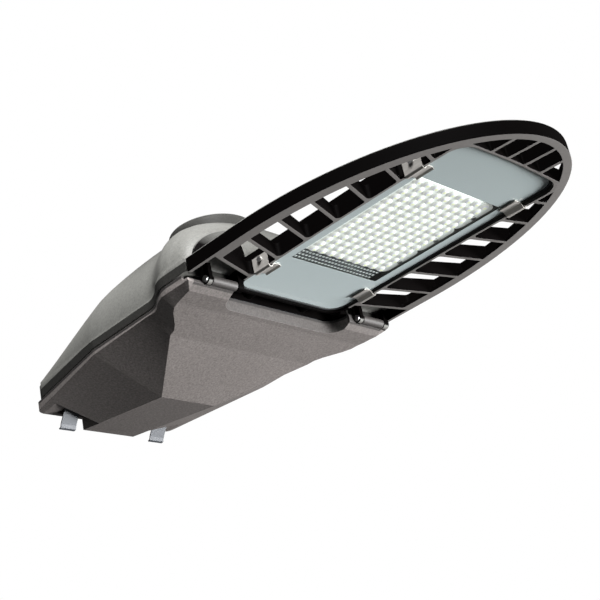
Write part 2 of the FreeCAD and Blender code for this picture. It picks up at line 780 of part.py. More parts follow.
def strap(x):
    """Half-round steel strap under the pole, with a bolt ear on each side."""
    x0 = x - STRAP_WIDTH / 2
    x1 = x + STRAP_WIDTH / 2
    outer = POLE_RADIUS + STRAP_SHEET
    ear_top = POLE_AXIS_HEIGHT - CLAMP_GAP
    ear_bottom = ear_top - STRAP_SHEET
    below = box(x0, x1, -BIG, BIG, -BIG, ear_top)
    body = pole_bore(outer, x0, x1).common(below)
    ears = box(x0, x1, -STRAP_EAR_REACH, STRAP_EAR_REACH, ear_bottom, ear_top)
    hole = CLAMP_BOLT_RADIUS + CLAMP_BOLT_CLEARANCE
    ys = (-BOLT_Y, BOLT_Y)
    holes = [bar(hole, Vector(x, y, ear_bottom - 1), Vector(x, y, ear_top + 1)) for y in ys]
    return fused([body, ears]).cut([pole_bore(POLE_RADIUS, x0 - 1, x1 + 1)] + holes).removeSplitter()


def clamp_bolt(x, y):
    """Bolt that pulls a strap up against the pole."""
    seat = Vector(x, y, POLE_AXIS_HEIGHT - CLAMP_GAP - STRAP_SHEET)
    low = seat.sub(Vector(0, 0, CLAMP_BOLT_HEAD))
    head = Part.makeCylinder(CLAMP_BOLT_HEAD_RADIUS, CLAMP_BOLT_HEAD, low)
    shank = bar(CLAMP_BOLT_RADIUS, seat, seat.add(Vector(0, 0, CLAMP_BOLT_LENGTH)))
    socket = Part.makeCylinder(CLAMP_BOLT_SOCKET, CLAMP_BOLT_SOCKET, low.sub(Vector(0, 0, 0.01)))
    return fused([head, shank]).cut(socket)


# Hinges


def knuckle_starts():
    """Lower Y end of each door knuckle."""
    return [NEAR_KNUCKLE_Y, FAR_KNUCKLE_Y]


def hinge_lug(y0, y1, grow, top):
    """Lug of the housing round the hinge axis, or the room it needs when grown."""
    radius = KNUCKLE_RADIUS + grow
    eye = bar(radius, Vector(HINGE_X, y0 - grow, HINGE_Z), Vector(HINGE_X, y1 + grow, HINGE_Z))
    return fused([eye, box(HINGE_X - radius, HINGE_X + radius, y0 - grow, y1 + grow, HINGE_Z, top)])


def lug_spans():
    """Y spans of the housing lugs, a short and a long one for each knuckle."""
    spans = []
    inner_ends = (-LAMP_BODY_HALF + 1, HEAD_HALF_WIDTH - SKIRT_WALL + 1)
    for start, inner in zip(knuckle_starts(), inner_ends):
        spans.append((start - HINGE_SIDE_GAP - LUG_LENGTH, start - HINGE_SIDE_GAP))
        spans.append((start + KNUCKLE_LENGTH + HINGE_SIDE_GAP, inner))
    return spans


def hinge_bore(start, radius):
    """Bore of a hinge, through its knuckle and both lugs."""
    y0 = start - HINGE_SIDE_GAP - LUG_LENGTH - 1
    y1 = start + KNUCKLE_LENGTH + HINGE_PIN_GRIP + 0.5
    return bar(radius, Vector(HINGE_X, y0, HINGE_Z), Vector(HINGE_X, y1, HINGE_Z))


def hinge_pin(start):
    """Steel pin with a round head towards -Y."""
    seat = Vector(HINGE_X, start - HINGE_SIDE_GAP - LUG_LENGTH, HINGE_Z)
    length = start + KNUCKLE_LENGTH + HINGE_PIN_GRIP - seat.y
    return screw(seat, Vector(0, 1, 0), HINGE_PIN_RADIUS, length, PIN_HEAD_RADIUS, PIN_HEAD_LENGTH)


# Small parts of the housing


def catch_ledge(side):
    """Ledge on the tail wall of the housing that faces the nose of a latch."""
    y0 = LATCH_INNER_Y - 2
    y1 = LATCH_OUTER_Y + 2
    z0 = LATCH_NOSE_Z - CATCH_THICKNESS
    ledge = box(CASTING_WALL - 1, LATCH_NOSE_X - CATCH_GAP, y0, y1, z0, LATCH_NOSE_Z + 1)
    return ledge if side > 0 else mirrored(ledge)


def tray_post_points():
    """Centres of the posts that carry the gear tray."""
    xs = (TRAY_X + POST_INSET, TRAY_X + TRAY_LENGTH - POST_INSET)
    ys = (-TRAY_HALF_WIDTH + POST_INSET, TRAY_HALF_WIDTH - POST_INSET)
    return [(x, y) for x in xs for y in ys]


def tray_posts():
    """Posts from the dome down to the gear tray."""
    low = TRAY_Z + TRAY_SHEET
    return [bar(POST_RADIUS, Vector(x, y, low), Vector(x, y, BIG)) for x, y in tray_post_points()]


def duct(y, radius):
    """Tube from the gear compartment to the lamp, at height DUCT_Z."""
    return bar(radius, Vector(BULKHEAD_X, y, DUCT_Z), Vector(LAMP_BODY_TAIL_X + 5, y, DUCT_Z))


def duct_bore(y):
    """Bore of a duct, with a wider thread at the compartment's end."""
    start = Vector(BULKHEAD_X - 8, y, DUCT_Z)
    thread = bar(GLAND_THREAD_RADIUS, start, Vector(BULKHEAD_X + 8, y, DUCT_Z))
    return thread.fuse(bar(DUCT_RADIUS, start, Vector(LAMP_BODY_TAIL_X + 20, y, DUCT_Z)))


def seal_ring(inset, width, z0, z1):
    """Ring that follows the rim of the compartment, open where the pole passes."""
    x0 = inset
    x1 = BULKHEAD_X + BULKHEAD_WALL - SEAL_INSET
    outer = compartment_prism(inset, x0, x1, z0, z1)
    inner = compartment_prism(inset + width, x0 + width, x1 - width, z0 - 1, z1 + 1)
    gap = box(-5, 20, -POLE_RADIUS, POLE_RADIUS, z0 - 1, z1 + 1)
    return outer.cut([inner, gap])


def screw_holes():
    """Threaded holes in the housing for the screws that go into it."""
    holes = []
    for x, y in tray_post_points():
        holes.append(bar(M4_RADIUS, Vector(x, y, TRAY_Z), Vector(x, y, TRAY_Z + 12)))
    for x, y in clamp_bolt_points():
        top = POLE_AXIS_HEIGHT + CLAMP_BOLT_LENGTH - 5.5
        holes.append(bar(CLAMP_BOLT_RADIUS, Vector(x, y, POLE_AXIS_HEIGHT), Vector(x, y, top)))
    for x, y in plate_screw_points():
        holes.append(bar(M4_RADIUS, Vector(x, y, BOSS_TOP - BOSS_WALL - 1), Vector(x, y, BOSS_TOP + 1)))
    for x, y in lens_screw_points():
        holes.append(bar(M3_RADIUS, Vector(x, y, LAMP_CEILING - 1), Vector(x, y, LAMP_CEILING + 3.2)))
    for x, side in clip_places():
        inner = Vector(x, side * (LAMP_BODY_HALF - 5.4), CLIP_SCREW_Z)
        holes.append(bar(M3_RADIUS, inner, Vector(x, side * (LAMP_BODY_HALF + 1), CLIP_SCREW_Z)))
    start = Vector(EARTH_X - 1, EARTH_Y, EARTH_Z)
    holes.append(bar(M4_RADIUS, start, Vector(BULKHEAD_X + 2, EARTH_Y, EARTH_Z)))
    return holes


def housing():
    """One casting: rim, dome, bulkhead, boss, pole saddle, ring, ribs, lamp body and hinge lugs."""
    shell = fused([band_solid(), dome_outside(), boss_outside()]).cut([gear_room(), boss_room()])
    core = dome_core()
    inside = [piece.common(core) for piece in [bulkhead()] + saddle() + tray_posts()]
    flange_top = FLANGE_THICKNESS - RING_DROP
    head = head_block().cut(cells(SKIRT_WALL, SKIRT_WALL, flange_top, RING_TOP + 1))
    head = head.cut(cells(FLANGE_SIDE_WIDTH, FLANGE_NOSE_WIDTH, -RING_DROP - 1, flange_top))
    ducts = [duct(y, DUCT_RADIUS + DUCT_WALL) for y in (GLAND_Y, BREATHER_Y)]
    earth = bar(POST_RADIUS, Vector(EARTH_X, EARTH_Y, EARTH_Z), Vector(BULKHEAD_X + 1, EARTH_Y, EARTH_Z))
    body = joined([shell] + inside + [head, lamp_block(), earth] + ducts + hinge_cell_walls())
    body = body.cut([fin_pan(), hinge_cell(1), hinge_cell(-1)])
    lugs = [hinge_lug(y0, y1, 0, HINGE_CELL_CEILING + 1) for y0, y1 in lug_spans()]
    body = joined([body] + fins() + lugs + [catch_ledge(1), catch_ledge(-1)])
    cuts = [glass_recess(-RING_DROP - 1, LEDGE_Z, 0), lamp_room()]
    cuts += [pole_bore(POLE_RADIUS, -1, SOCKET_LENGTH + 1)]
    cuts += [duct_bore(y) for y in (GLAND_Y, BREATHER_Y)]
    cuts += [hinge_bore(start, HINGE_PIN_RADIUS) for start in knuckle_starts()]
    cuts += [seal_ring(SEAL_INSET, SEAL_WIDTH, -1, SEAL_DEPTH)]
    cuts += screw_holes() + rim_notches()
    return opened(body, cuts)


def rim_notches():
    """Dark groove between the ring and the band of the gear compartment, on both flanks."""
    y0 = HEAD_HALF_WIDTH - NOTCH_DEPTH
    groove = box(HEAD_TAIL_X - NOTCH_WIDTH, HEAD_TAIL_X, y0, BIG, -RING_DROP - 1, RING_TOP + 1)
    return [groove, mirrored(groove)]


# Door


def door_section(x, half, flange, ridge_half, ridge_z, inset, lift, top):
    """Upright section of the door: flanges, sloping facets and a flat ridge, drawn inside by inset."""
    w = half - inset
    r = min(ridge_half - inset * 0.55, w - 0.5)
    foot = -flange + inset * 0.45
    low = ridge_z + lift
    points = [(w, top), (w, foot), (r, low), (-r, low), (-w, foot), (-w, top)]
    corners = [Vector(x, y, z) for y, z in points]
    return Part.makePolygon(corners + corners[:1])


def door_stations(inset):
    """Stations of the door as (x, half width, flange depth, ridge half width, ridge height)."""
    first = inset
    tail_share = first / KEEL_X
    stations = [(
        first,
        at_station(first, RIM_STATIONS),
        DOOR_TAIL_FLANGE,
        blend(TAIL_FLAT_HALF_WIDTH, KEEL_HALF_WIDTH, tail_share),
        -blend(DOOR_TAIL_DEPTH, DOOR_KEEL_DEPTH, tail_share),
    )]
    stations.append((KEEL_X, BREAK_HALF_WIDTH, DOOR_KEEL_FLANGE, KEEL_HALF_WIDTH, -DOOR_KEEL_DEPTH))
    for k in range(DOOR_NECK_STEPS + 1):
        share = k / DOOR_NECK_STEPS
        soft = (1 - math.cos(math.pi * share)) / 2
        x = blend(NECK_X, SHOULDER_X, share)
        ridge = blend(NECK_RIDGE_HALF_WIDTH, SHOULDER_RIDGE_HALF_WIDTH, soft)
        depth = blend(DOOR_NECK_DEPTH, DOOR_FRONT_DEPTH, share)
        flange = blend(DOOR_NECK_FLANGE, DOOR_EAR_FLANGE, share)
        stations.append((x, rim_half_width(x), flange, ridge, -depth))
    stations.append((BEVEL_X, HEAD_HALF_WIDTH, DOOR_EAR_FLANGE, EAR_RIDGE_HALF_WIDTH, -DOOR_EAR_DEPTH))
    edge = (HEAD_HALF_WIDTH, DOOR_EAR_FLANGE - 0.4, HEAD_HALF_WIDTH - 1, -DOOR_EAR_FLANGE)
    stations.append((DOOR_FRONT_X,) + edge)
    return stations


def door_loft(inset, lift, top):
    """Body of the door through its stations, drawn inside by inset."""
    sections = []
    for x, half, flange, ridge_half, ridge_z in door_stations(inset):
        x = min(x, DOOR_FRONT_X - inset)
        sections.append(door_section(x, half, flange, ridge_half, ridge_z, inset, lift, top))
    return Part.makeLoft(sections, True, True)


def door_recess(grow):
    """Recess in the front of the door, between its two ears."""
    x0 = RECESS_X - grow
    half = RECESS_HALF_WIDTH + grow
    block = box(x0, BIG, -half, half, -BIG, BIG)
    return round_upright_edges(block, RECESS_CORNER_RADIUS + grow, lambda c: c.x < x0 + 1)


def pad_cut(side, grow):
    """Flat pad and latch recess at a tail corner of the door, or their walls when grown."""
    y0 = POCKET_INNER_Y - grow
    pad = box(-1, PAD_LENGTH + grow, y0, BIG, -BIG, -PAD_DEPTH + grow)
    pocket = box(POCKET_X - grow, PAD_LENGTH + grow, y0, POCKET_OUTER_Y + grow, -BIG, POCKET_CEILING + grow)
    both = fused([pad, pocket])
    return both if side > 0 else mirrored(both)


def latch_slot(side):
    """Slot in the pocket's ceiling that the latch reaches through."""
    x1 = PAD_LENGTH + LATCH_SWING_GAP
    slot = box(LATCH_NOSE_X - 3, x1, LATCH_INNER_Y - 1, LATCH_OUTER_Y + 1, POCKET_CEILING - 1, BIG)
    return slot if side > 0 else mirrored(slot)


def latch_pin_bore(side, radius):
    """Bore of a latch pin through both walls of its pocket."""
    y0 = side * (POCKET_INNER_Y - DOOR_WALL - 1)
    y1 = side * (POCKET_OUTER_Y + DOOR_WALL + 1)
    return bar(radius, Vector(LATCH_PIVOT_X, y0, LATCH_PIVOT_Z), Vector(LATCH_PIVOT_X, y1, LATCH_PIVOT_Z))


def pin_head_room(start):
    """Room in the door for the head of a hinge pin."""
    seat = Vector(HINGE_X, start - HINGE_SIDE_GAP - LUG_LENGTH, HINGE_Z)
    end = seat.sub(Vector(0, PIN_HEAD_LENGTH + PIN_HEAD_CLEARANCE, 0))
    return bar(PIN_HEAD_RADIUS + PIN_HEAD_CLEARANCE, end, seat)


def ear_slot():
    """Slot in the end of the near ear through which the near hinge pin goes in."""
    y1 = NEAR_KNUCKLE_Y - HINGE_SIDE_GAP - LUG_LENGTH
    z0 = DOOR_WALL - DOOR_EAR_FLANGE
    return box(DOOR_FRONT_X - EAR_SLOT_DEPTH, BIG, -BIG, y1, z0, BIG)


def door_cover():
    """One casting: the door with its flange, ears, hinge knuckles and latch pockets."""
    top = -SEAM_GAP
    shell = door_loft(0, 0, top).cut(door_recess(0))
    plan = compartment_prism(0, 0, BIG, -BIG, BIG, DOOR_CORNER_RADIUS)
    shell = shell.common(plan)
    shell = shell.cut([pad_cut(1, 0), pad_cut(-1, 0)])
    room = door_loft(DOOR_WALL, DOOR_WALL, top + 5)
    front_x = DOOR_FRONT_X - DOOR_WALL
    plan = compartment_prism(DOOR_WALL, DOOR_WALL, front_x, -BIG, BIG, DOOR_CORNER_RADIUS)
    room = room.common(plan)
    room = room.cut([door_recess(DOOR_WALL), pad_cut(1, DOOR_WALL), pad_cut(-1, DOOR_WALL)])
    knuckles = []
    for start in knuckle_starts():
        end = start + KNUCKLE_LENGTH
        knuckles.append(bar(KNUCKLE_RADIUS, Vector(HINGE_X, start, HINGE_Z), Vector(HINGE_X, end, HINGE_Z)))
        knuckles.append(box(DOOR_FRONT_X - DOOR_WALL, HINGE_X, start, end, HINGE_Z - 4, HINGE_Z + 3))
    door = fused([shell.cut(room)] + knuckles)
    cuts = [hinge_lug(y0, y1, HINGE_SWEEP_GAP, 5) for y0, y1 in lug_spans()]
    cuts += [hinge_bore(start, HINGE_PIN_RADIUS + RUNNING_CLEARANCE) for start in knuckle_starts()]
    cuts += [pin_head_room(start) for start in knuckle_starts()]
    cuts += [ear_slot(), pole_bore(POLE_RADIUS + POLE_PASSAGE, -1, SOCKET_LENGTH)]
    for side in (1, -1):
        cuts += [latch_slot(side), latch_pin_bore(side, LATCH_PIN_RADIUS)]
    return door.cut(cuts).removeSplitter()


# Latches


def latch_lever(side):
    """Folded lever: a hand grip below its pin and a hooked arm above it."""
    px = LATCH_PIVOT_X
    pz = LATCH_PIVOT_Z
    line = [
        (LATCH_NOSE_X, LATCH_NOSE_Z - 1), (px - 2.5, LATCH_NOSE_Z), (px + 1.5, LATCH_NOSE_Z - 2.5),
        (px + 2.2, pz), (px - 1.5, pz - 3.6), (LATCH_TIP_X + 1.5, LATCH_TIP_Z + 4),
        (LATCH_TIP_X, LATCH_TIP_Z), (LATCH_TIP_X - 3, LATCH_TIP_Z - 0.6),
    ]
    sweep = Vector(0, LATCH_WIDTH, 0)
    blade = folded_strip(line, LATCH_SHEET, lambda u, v: Vector(u, LATCH_INNER_Y, v), sweep)
    curl = bar(LATCH_CURL_RADIUS, Vector(px, LATCH_INNER_Y, pz), Vector(px, LATCH_OUTER_Y, pz))
    bore = bar(LATCH_PIN_RADIUS + RUNNING_CLEARANCE, Vector(px, 0, pz), Vector(px, 100, pz))
    lever = fused([blade, curl]).cut(bore)
    return lever if side > 0 else mirrored(lever)


def latch_pin(side):
    """Pin of a latch, held by both walls of the pocket."""
    y0 = side * (POCKET_INNER_Y - DOOR_WALL)
    y1 = side * (POCKET_OUTER_Y + DOOR_WALL)
    start = Vector(LATCH_PIVOT_X, y0, LATCH_PIVOT_Z)
    return bar(LATCH_PIN_RADIUS, start, Vector(LATCH_PIVOT_X, y1, LATCH_PIVOT_Z))


# Glass set


def front_glass():
    """Flat glass with round corners."""
    half_length = GLASS_LENGTH / 2
    half_width = GLASS_WIDTH / 2
    x0 = GLASS_CENTRE_X - half_length
    x1 = GLASS_CENTRE_X + half_length
    z0 = GLASS_RECESS
    return rounded_block(x0, x1, -half_width, half_width, z0, z0 + GLASS_THICKNESS, GLASS_CORNER_RADIUS)


def glass_gasket():
    """Gasket round the edge of the glass and over its margin."""
    frame = glass_recess(GLASS_RECESS - 0.6, LEDGE_Z, 0)
    below = glass_recess(-5, GLASS_RECESS, GASKET_SIDE)
    above = glass_recess(GLASS_RECESS, LEDGE_Z + 1, GASKET_LEDGE)
    return frame.cut([front_glass(), below, above])


def clip_places():
    """X and side of each glass clip."""
    return [(TAIL_CLIP_X, -1), (TAIL_CLIP_X, 1), (NOSE_CLIP_X, -1), (NOSE_CLIP_X, 1)]


def glass_clip(x, side):
    """Spring clip: a leg on the wall, a roll round the rim and a lip under the glass."""
    wall = LAMP_BODY_HALF + CLIP_SHEET / 2
    glass = GLASS_WIDTH / 2
    lip = GLASS_RECESS - CLIP_GAP - CLIP_SHEET / 2
    line = [
        (wall, 14.0), (wall, -1.0), (wall - 1.6, -2.6), (glass + 1.4, -2.2),
        (glass - 1.6, lip - 0.9), (glass - 3.4, lip), (glass - 10.0, lip), (glass - 12.0, lip - 1.7),
    ]
    sweep = Vector(CLIP_WIDTH, 0, 0)
    clip = folded_strip(line, CLIP_SHEET, lambda u, v: Vector(x - CLIP_WIDTH / 2, u, v), sweep)
    inner = Vector(x, wall - 5, CLIP_SCREW_Z)
    clip = clip.cut(bar(M3_RADIUS + SCREW_CLEARANCE, inner, Vector(x, wall + 5, CLIP_SCREW_Z)))
    return clip if side > 0 else mirrored(clip)


def clip_screws():
    """Screws of the glass clips."""
    screws = []
    for x, side in clip_places():
        seat = Vector(x, side * (LAMP_BODY_HALF + CLIP_SHEET), CLIP_SCREW_Z)
        screws.append(screw(seat, Vector(0, -side, 0), M3_RADIUS, 5.5, M3_HEAD_RADIUS, M3_HEAD))
    return group(screws)


# Light engines


def module_centres():
    """Centre of each light module along X."""
    return [MODULE_CENTRE_X + (k - (MODULE_COUNT - 1) / 2) * MODULE_PITCH for k in range(MODULE_COUNT)]


def lens_points(centre):
    """Centre of each lens on one module."""
    xs = [centre + (i - (LENS_COLUMNS - 1) / 2) * LENS_COLUMN_PITCH for i in range(LENS_COLUMNS)]
    ys = [(j - (LENS_ROWS - 1) / 2) * LENS_ROW_PITCH for j in range(LENS_ROWS)]
    return [(x, y) for x in xs for y in ys]


def lens_screw_points():
    """Screws that hold the modules: one at each end of every module."""
    return [(x, side * LENS_SCREW_Y) for x in module_centres() for side in (-1, 1)]


def module_block(centre, inset, z0, z1, radius):
    """Rounded block with the outline of a module."""
    half_length = MODULE_LENGTH / 2 - inset
    half_width = MODULE_WIDTH / 2 - inset
    x0 = centre - half_length
    x1 = centre + half_length
    return rounded_block(x0, x1, -half_width, half_width, z0, z1, radius)


def module_screw_holes(centre, z0, z1):
    """Screw holes of one module."""
    radius = M3_RADIUS + SCREW_CLEARANCE
    ys = (-LENS_SCREW_Y, LENS_SCREW_Y)
    return [bar(radius, Vector(centre, y, z0), Vector(centre, y, z1)) for y in ys]


def led_board(centre):
    """Circuit board of one module, flat on the ceiling of the lamp."""
    board = module_block(centre, BOARD_INSET, BOARD_Z, LAMP_CEILING, MODULE_CORNER_RADIUS - 1)
    return board.cut(module_screw_holes(centre, BOARD_Z - 1, LAMP_CEILING + 1))


def led_chips(centre):
    """Light-emitting packages of one module."""
    half = CHIP_SIZE / 2
    low = BOARD_Z - CHIP_HEIGHT
    points = lens_points(centre)
    return group([box(x - half, x + half, y - half, y + half, low, BOARD_Z) for x, y in points])


def polygon_at(x, y, z, radius):
    """Regular polygon with LENS_SIDES corners, flat at height z."""
    turns = [2 * math.pi * (k + 0.5) / LENS_SIDES for k in range(LENS_SIDES)]
    corners = [Vector(x + radius * math.cos(t), y + radius * math.sin(t), z) for t in turns]
    return Part.makePolygon(corners + corners[:1])


def lens(x, y):
    """One lens: a faceted stub that narrows downwards."""
    tip = polygon_at(x, y, LENS_BASE_Z - LENS_HEIGHT, LENS_TIP_RADIUS)
    base = polygon_at(x, y, LENS_BASE_Z, LENS_BASE_RADIUS)
    return Part.makeLoft([tip, base], True, True)


def lens_plate(centre):
    """Moulded lens plate of one module: a hollow plate with a lens under every package."""
    plate = module_block(centre, 0, LENS_BASE_Z, BOARD_Z, MODULE_CORNER_RADIUS)
    floor = LENS_BASE_Z + LENS_PLATE_SKIN
    hollow = module_block(centre, PLATE_RIM, floor, BOARD_Z + 1, MODULE_CORNER_RADIUS - PLATE_RIM)
    for side in (-1, 1):
        y = side * LENS_SCREW_Y
        post = bar(PLATE_POST_RADIUS, Vector(centre, y, 0), Vector(centre, y, BIG))
        hollow = hollow.cut(post)
    plate = plate.cut([hollow] + module_screw_holes(centre, 0, BIG))
    return plate.fuse([lens(x, y) for x, y in lens_points(centre)]).removeSplitter()


def lens_screws():
    """Screws of the light modules."""
    seats = [Vector(x, y, LENS_BASE_Z) for x, y in lens_screw_points()]
    length = LAMP_CEILING + 3 - LENS_BASE_Z
    up = Vector(0, 0, 1)
    return group([screw(seat, up, M3_RADIUS, length, M3_HEAD_RADIUS, M3_HEAD) for seat in seats])


def connector_strip():
    """Dark strip with rows of contacts at the tail end of the modules."""
    x1 = module_centres()[0] - MODULE_LENGTH / 2 - STRIP_GAP
    x0 = x1 - STRIP_LENGTH
    half = MODULE_WIDTH / 2 - 6
    base = box(x0, x1, -half, half, LAMP_CEILING - 3, LAMP_CEILING)
    pieces = [base]
    reach = STRIP_ROW_WIDTH / 2
    for row in range(STRIP_ROWS):
        x = x0 + STRIP_LENGTH * (row + 0.5) / STRIP_ROWS
        pieces.append(box(x - reach, x + reach, -half + 2, half - 2, LAMP_CEILING - 4.4, LAMP_CEILING - 2.9))
    return fused(pieces)


# Gear


def gear_tray():
    """Steel tray with turned-down edges, under the posts of the housing."""
    x1 = TRAY_X + TRAY_LENGTH
    y = TRAY_HALF_WIDTH
    plate = box(TRAY_X, x1, -y, y, TRAY_Z, TRAY_Z + TRAY_SHEET)
    lip = box(TRAY_X, x1, y - TRAY_SHEET, y, TRAY_Z - TRAY_LIP, TRAY_Z)
    radius = M4_RADIUS + SCREW_CLEARANCE
    points = tray_post_points() + driver_screw_points() + surge_screw_points() + terminal_screw_points()
    holes = [bar(radius, Vector(px, py, TRAY_Z - 1), Vector(px, py, TRAY_Z + 5)) for px, py in points]
    return fused([plate, lip, mirrored(lip)]).cut(holes)


def tray_screws():
    """Screws of the gear tray, put in from below."""
    seats = [Vector(x, y, TRAY_Z) for x, y in tray_post_points()]
    return group([screw(seat, Vector(0, 0, 1), M4_RADIUS, 12, M4_HEAD_RADIUS, M4_HEAD) for seat in seats])


def driver_screw_points():
    """Screws of the driver's feet."""
    y = DRIVER_Y + DRIVER_WIDTH / 2
    return [(DRIVER_X - DRIVER_FOOT / 2, y), (DRIVER_X + DRIVER_LENGTH + DRIVER_FOOT / 2, y)]


def surge_screw_points():
    """Screws of the surge protector's feet."""
    y = SURGE_Y + SURGE_WIDTH / 2
    return [(SURGE_X - 5, y), (SURGE_X + SURGE_LENGTH + 5, y)]


def terminal_screw_points():
    """Screws of the terminal block, one at each end."""
    half = TERMINAL_WAYS * TERMINAL_WAY_WIDTH / 2
    x = TERMINAL_X + TERMINAL_LENGTH / 2
    return [(x, -half - 5), (x, half + 5)]


def hung_box(x0, x1, y0, y1, height, feet, radius):
    """Closed unit hanging under the tray by a foot at each end."""
    body = rounded_block(x0, x1, y0, y1, TRAY_Z - height, TRAY_Z, radius)
    middle = (y0 + y1) / 2
    reach = min(9.0, (y1 - y0) / 2)
    foot = box(x0 - feet, x1 + feet, middle - reach, middle + reach, TRAY_Z - 2.5, TRAY_Z)
    hole = M4_RADIUS + SCREW_CLEARANCE
    xs = (x0 - feet / 2, x1 + feet / 2)
    holes = [bar(hole, Vector(x, middle, 0), Vector(x, middle, BIG)) for x in xs]
    return fused([body, foot]).cut(holes)


def driver():
    """Lamp driver in its closed case, with a terminal box at each end."""
    x1 = DRIVER_X + DRIVER_LENGTH
    y1 = DRIVER_Y + DRIVER_WIDTH
    case = hung_box(DRIVER_X, x1, DRIVER_Y, y1, DRIVER_HEIGHT, DRIVER_FOOT, 3)
    for x in (DRIVER_X + 1, x1 - 13):
        case = case.cut(box(x, x + 12, DRIVER_Y + 8, y1 - 8, 0, TRAY_Z - DRIVER_HEIGHT + 4))
    return case


def surge_protector():
    """Surge protector in a small closed case."""
    return hung_box(SURGE_X, SURGE_X + SURGE_LENGTH, SURGE_Y, SURGE_Y + SURGE_WIDTH, SURGE_HEIGHT, 10, 3)


def terminal_block():
    """Row of screw terminals with a mounting lug at each end."""
    half = TERMINAL_WAYS * TERMINAL_WAY_WIDTH / 2
    x1 = TERMINAL_X + TERMINAL_LENGTH
    low = TRAY_Z - TERMINAL_HEIGHT
    body = box(TERMINAL_X, x1, -half, half, low, TRAY_Z)
    lugs = box(TERMINAL_X + 6, x1 - 6, -half - 10, half + 10, TRAY_Z - 4, TRAY_Z)
    cuts = []
    for way in range(TERMINAL_WAYS):
        y = -half + (way + 0.5) * TERMINAL_WAY_WIDTH
        for x in (TERMINAL_X, x1 - 5):
            cuts.append(box(x, x + 5, y - 3.5, y + 3.5, low - 1, low + 6))
        for x in (TERMINAL_X + 8.5, x1 - 8.5):
            cuts.append(bar(2.2, Vector(x, y, low - 1), Vector(x, y, low + 4)))
    hole = M4_RADIUS + SCREW_CLEARANCE
    cuts += [bar(hole, Vector(x, y, 0), Vector(x, y, BIG)) for x, y in terminal_screw_points()]
    return fused([body, lugs]).cut(cuts)


def screws_under(points, thickness):
    """Screws with nuts through the tray for a unit whose feet are this thick."""
    pieces = []
    for x, y in points:
        seat = Vector(x, y, TRAY_Z - thickness)
        length = thickness + TRAY_SHEET + 4
        pin = screw(seat, Vector(0, 0, 1), M4_RADIUS, length, M4_HEAD_RADIUS, M4_HEAD)
        nut = Part.makeCylinder(M4_HEAD_RADIUS, 3, Vector(x, y, TRAY_Z + TRAY_SHEET))
        pieces.append(fused([pin, nut]))
    return group(pieces)


def gland_plug(y, head_length):
    """Threaded plug in the bulkhead with a collar towards the compartment."""
    seat = Vector(BULKHEAD_X, y, DUCT_Z)
    thread = bar(GLAND_THREAD_RADIUS, seat, seat.add(Vector(7, 0, 0)))
    collar = bar(GLAND_HEX_RADIUS, seat.sub(Vector(4, 0, 0)), seat)
    cap = bar(GLAND_HEX_RADIUS - 1.5, seat.sub(Vector(head_length, 0, 0)), seat.sub(Vector(4, 0, 0)))
    bore = bar(DUCT_RADIUS, seat.sub(Vector(head_length + 1, 0, 0)), seat.add(Vector(8, 0, 0)))
    return fused([thread, collar, cap]).cut(bore)


def breather_vent():
    """Vent plug with side slots, closed at its end."""
    plug = gland_plug(BREATHER_Y, 9)
    seat = Vector(BULKHEAD_X, BREATHER_Y, DUCT_Z)
    cap = bar(DUCT_RADIUS + 1, seat.sub(Vector(9, 0, 0)), seat.sub(Vector(7.5, 0, 0)))
    slot = box(seat.x - 7.5, seat.x - 6, BREATHER_Y - 20, BREATHER_Y + 20, DUCT_Z - 1, DUCT_Z + 1)
    return fused([plug, cap]).cut(slot)


def earth_screw():
    """Earth screw with a washer, in a boss of the bulkhead."""
    seat = Vector(EARTH_X - 1.2, EARTH_Y, EARTH_Z)
    pin = screw(seat, Vector(1, 0, 0), M4_RADIUS, 13, M4_HEAD_RADIUS, M4_HEAD)
    washer = bar(5, seat, Vector(EARTH_X, EARTH_Y, EARTH_Z))
    return fused([pin, washer])


def blanking_plate():
    """Round plate on the boss."""
    base = BOSS_TOP + PLATE_GASKET_THICKNESS
    plate = Part.makeCylinder(PLATE_RADIUS, PLATE_THICKNESS, Vector(BOSS_X, 0, base))
    top = [e for e in plate.Edges if e.BoundBox.ZMin > base + PLATE_THICKNESS - 0.01]
    plate = plate.makeChamfer(PLATE_CHAMFER, top)
    radius = M4_RADIUS + SCREW_CLEARANCE
    holes = [bar(radius, Vector(x, y, BOSS_TOP), Vector(x, y, BIG)) for x, y in plate_screw_points()]
    return plate.cut(holes)


def blanking_gasket():
    """Flat ring between the boss and its plate."""
    ring = Part.makeCylinder(PLATE_RADIUS - 2, PLATE_GASKET_THICKNESS, Vector(BOSS_X, 0, BOSS_TOP))
    radius = M4_RADIUS + SCREW_CLEARANCE
    holes = [bar(radius, Vector(x, y, BOSS_TOP - 1), Vector(x, y, BIG)) for x, y in plate_screw_points()]
    hollow = bar(BOSS_HOLE_RADIUS + 1, Vector(BOSS_X, 0, BOSS_TOP - 1), Vector(BOSS_X, 0, BIG))
    return ring.cut([hollow] + holes)


def blanking_screws():
    """Screws of the blanking plate."""
    top = BOSS_TOP + PLATE_GASKET_THICKNESS + PLATE_THICKNESS
    seats = [Vector(x, y, top) for x, y in plate_screw_points()]
    return group([screw(seat, Vector(0, 0, -1), M4_RADIUS, 9, M4_HEAD_RADIUS, M4_HEAD) for seat in seats])


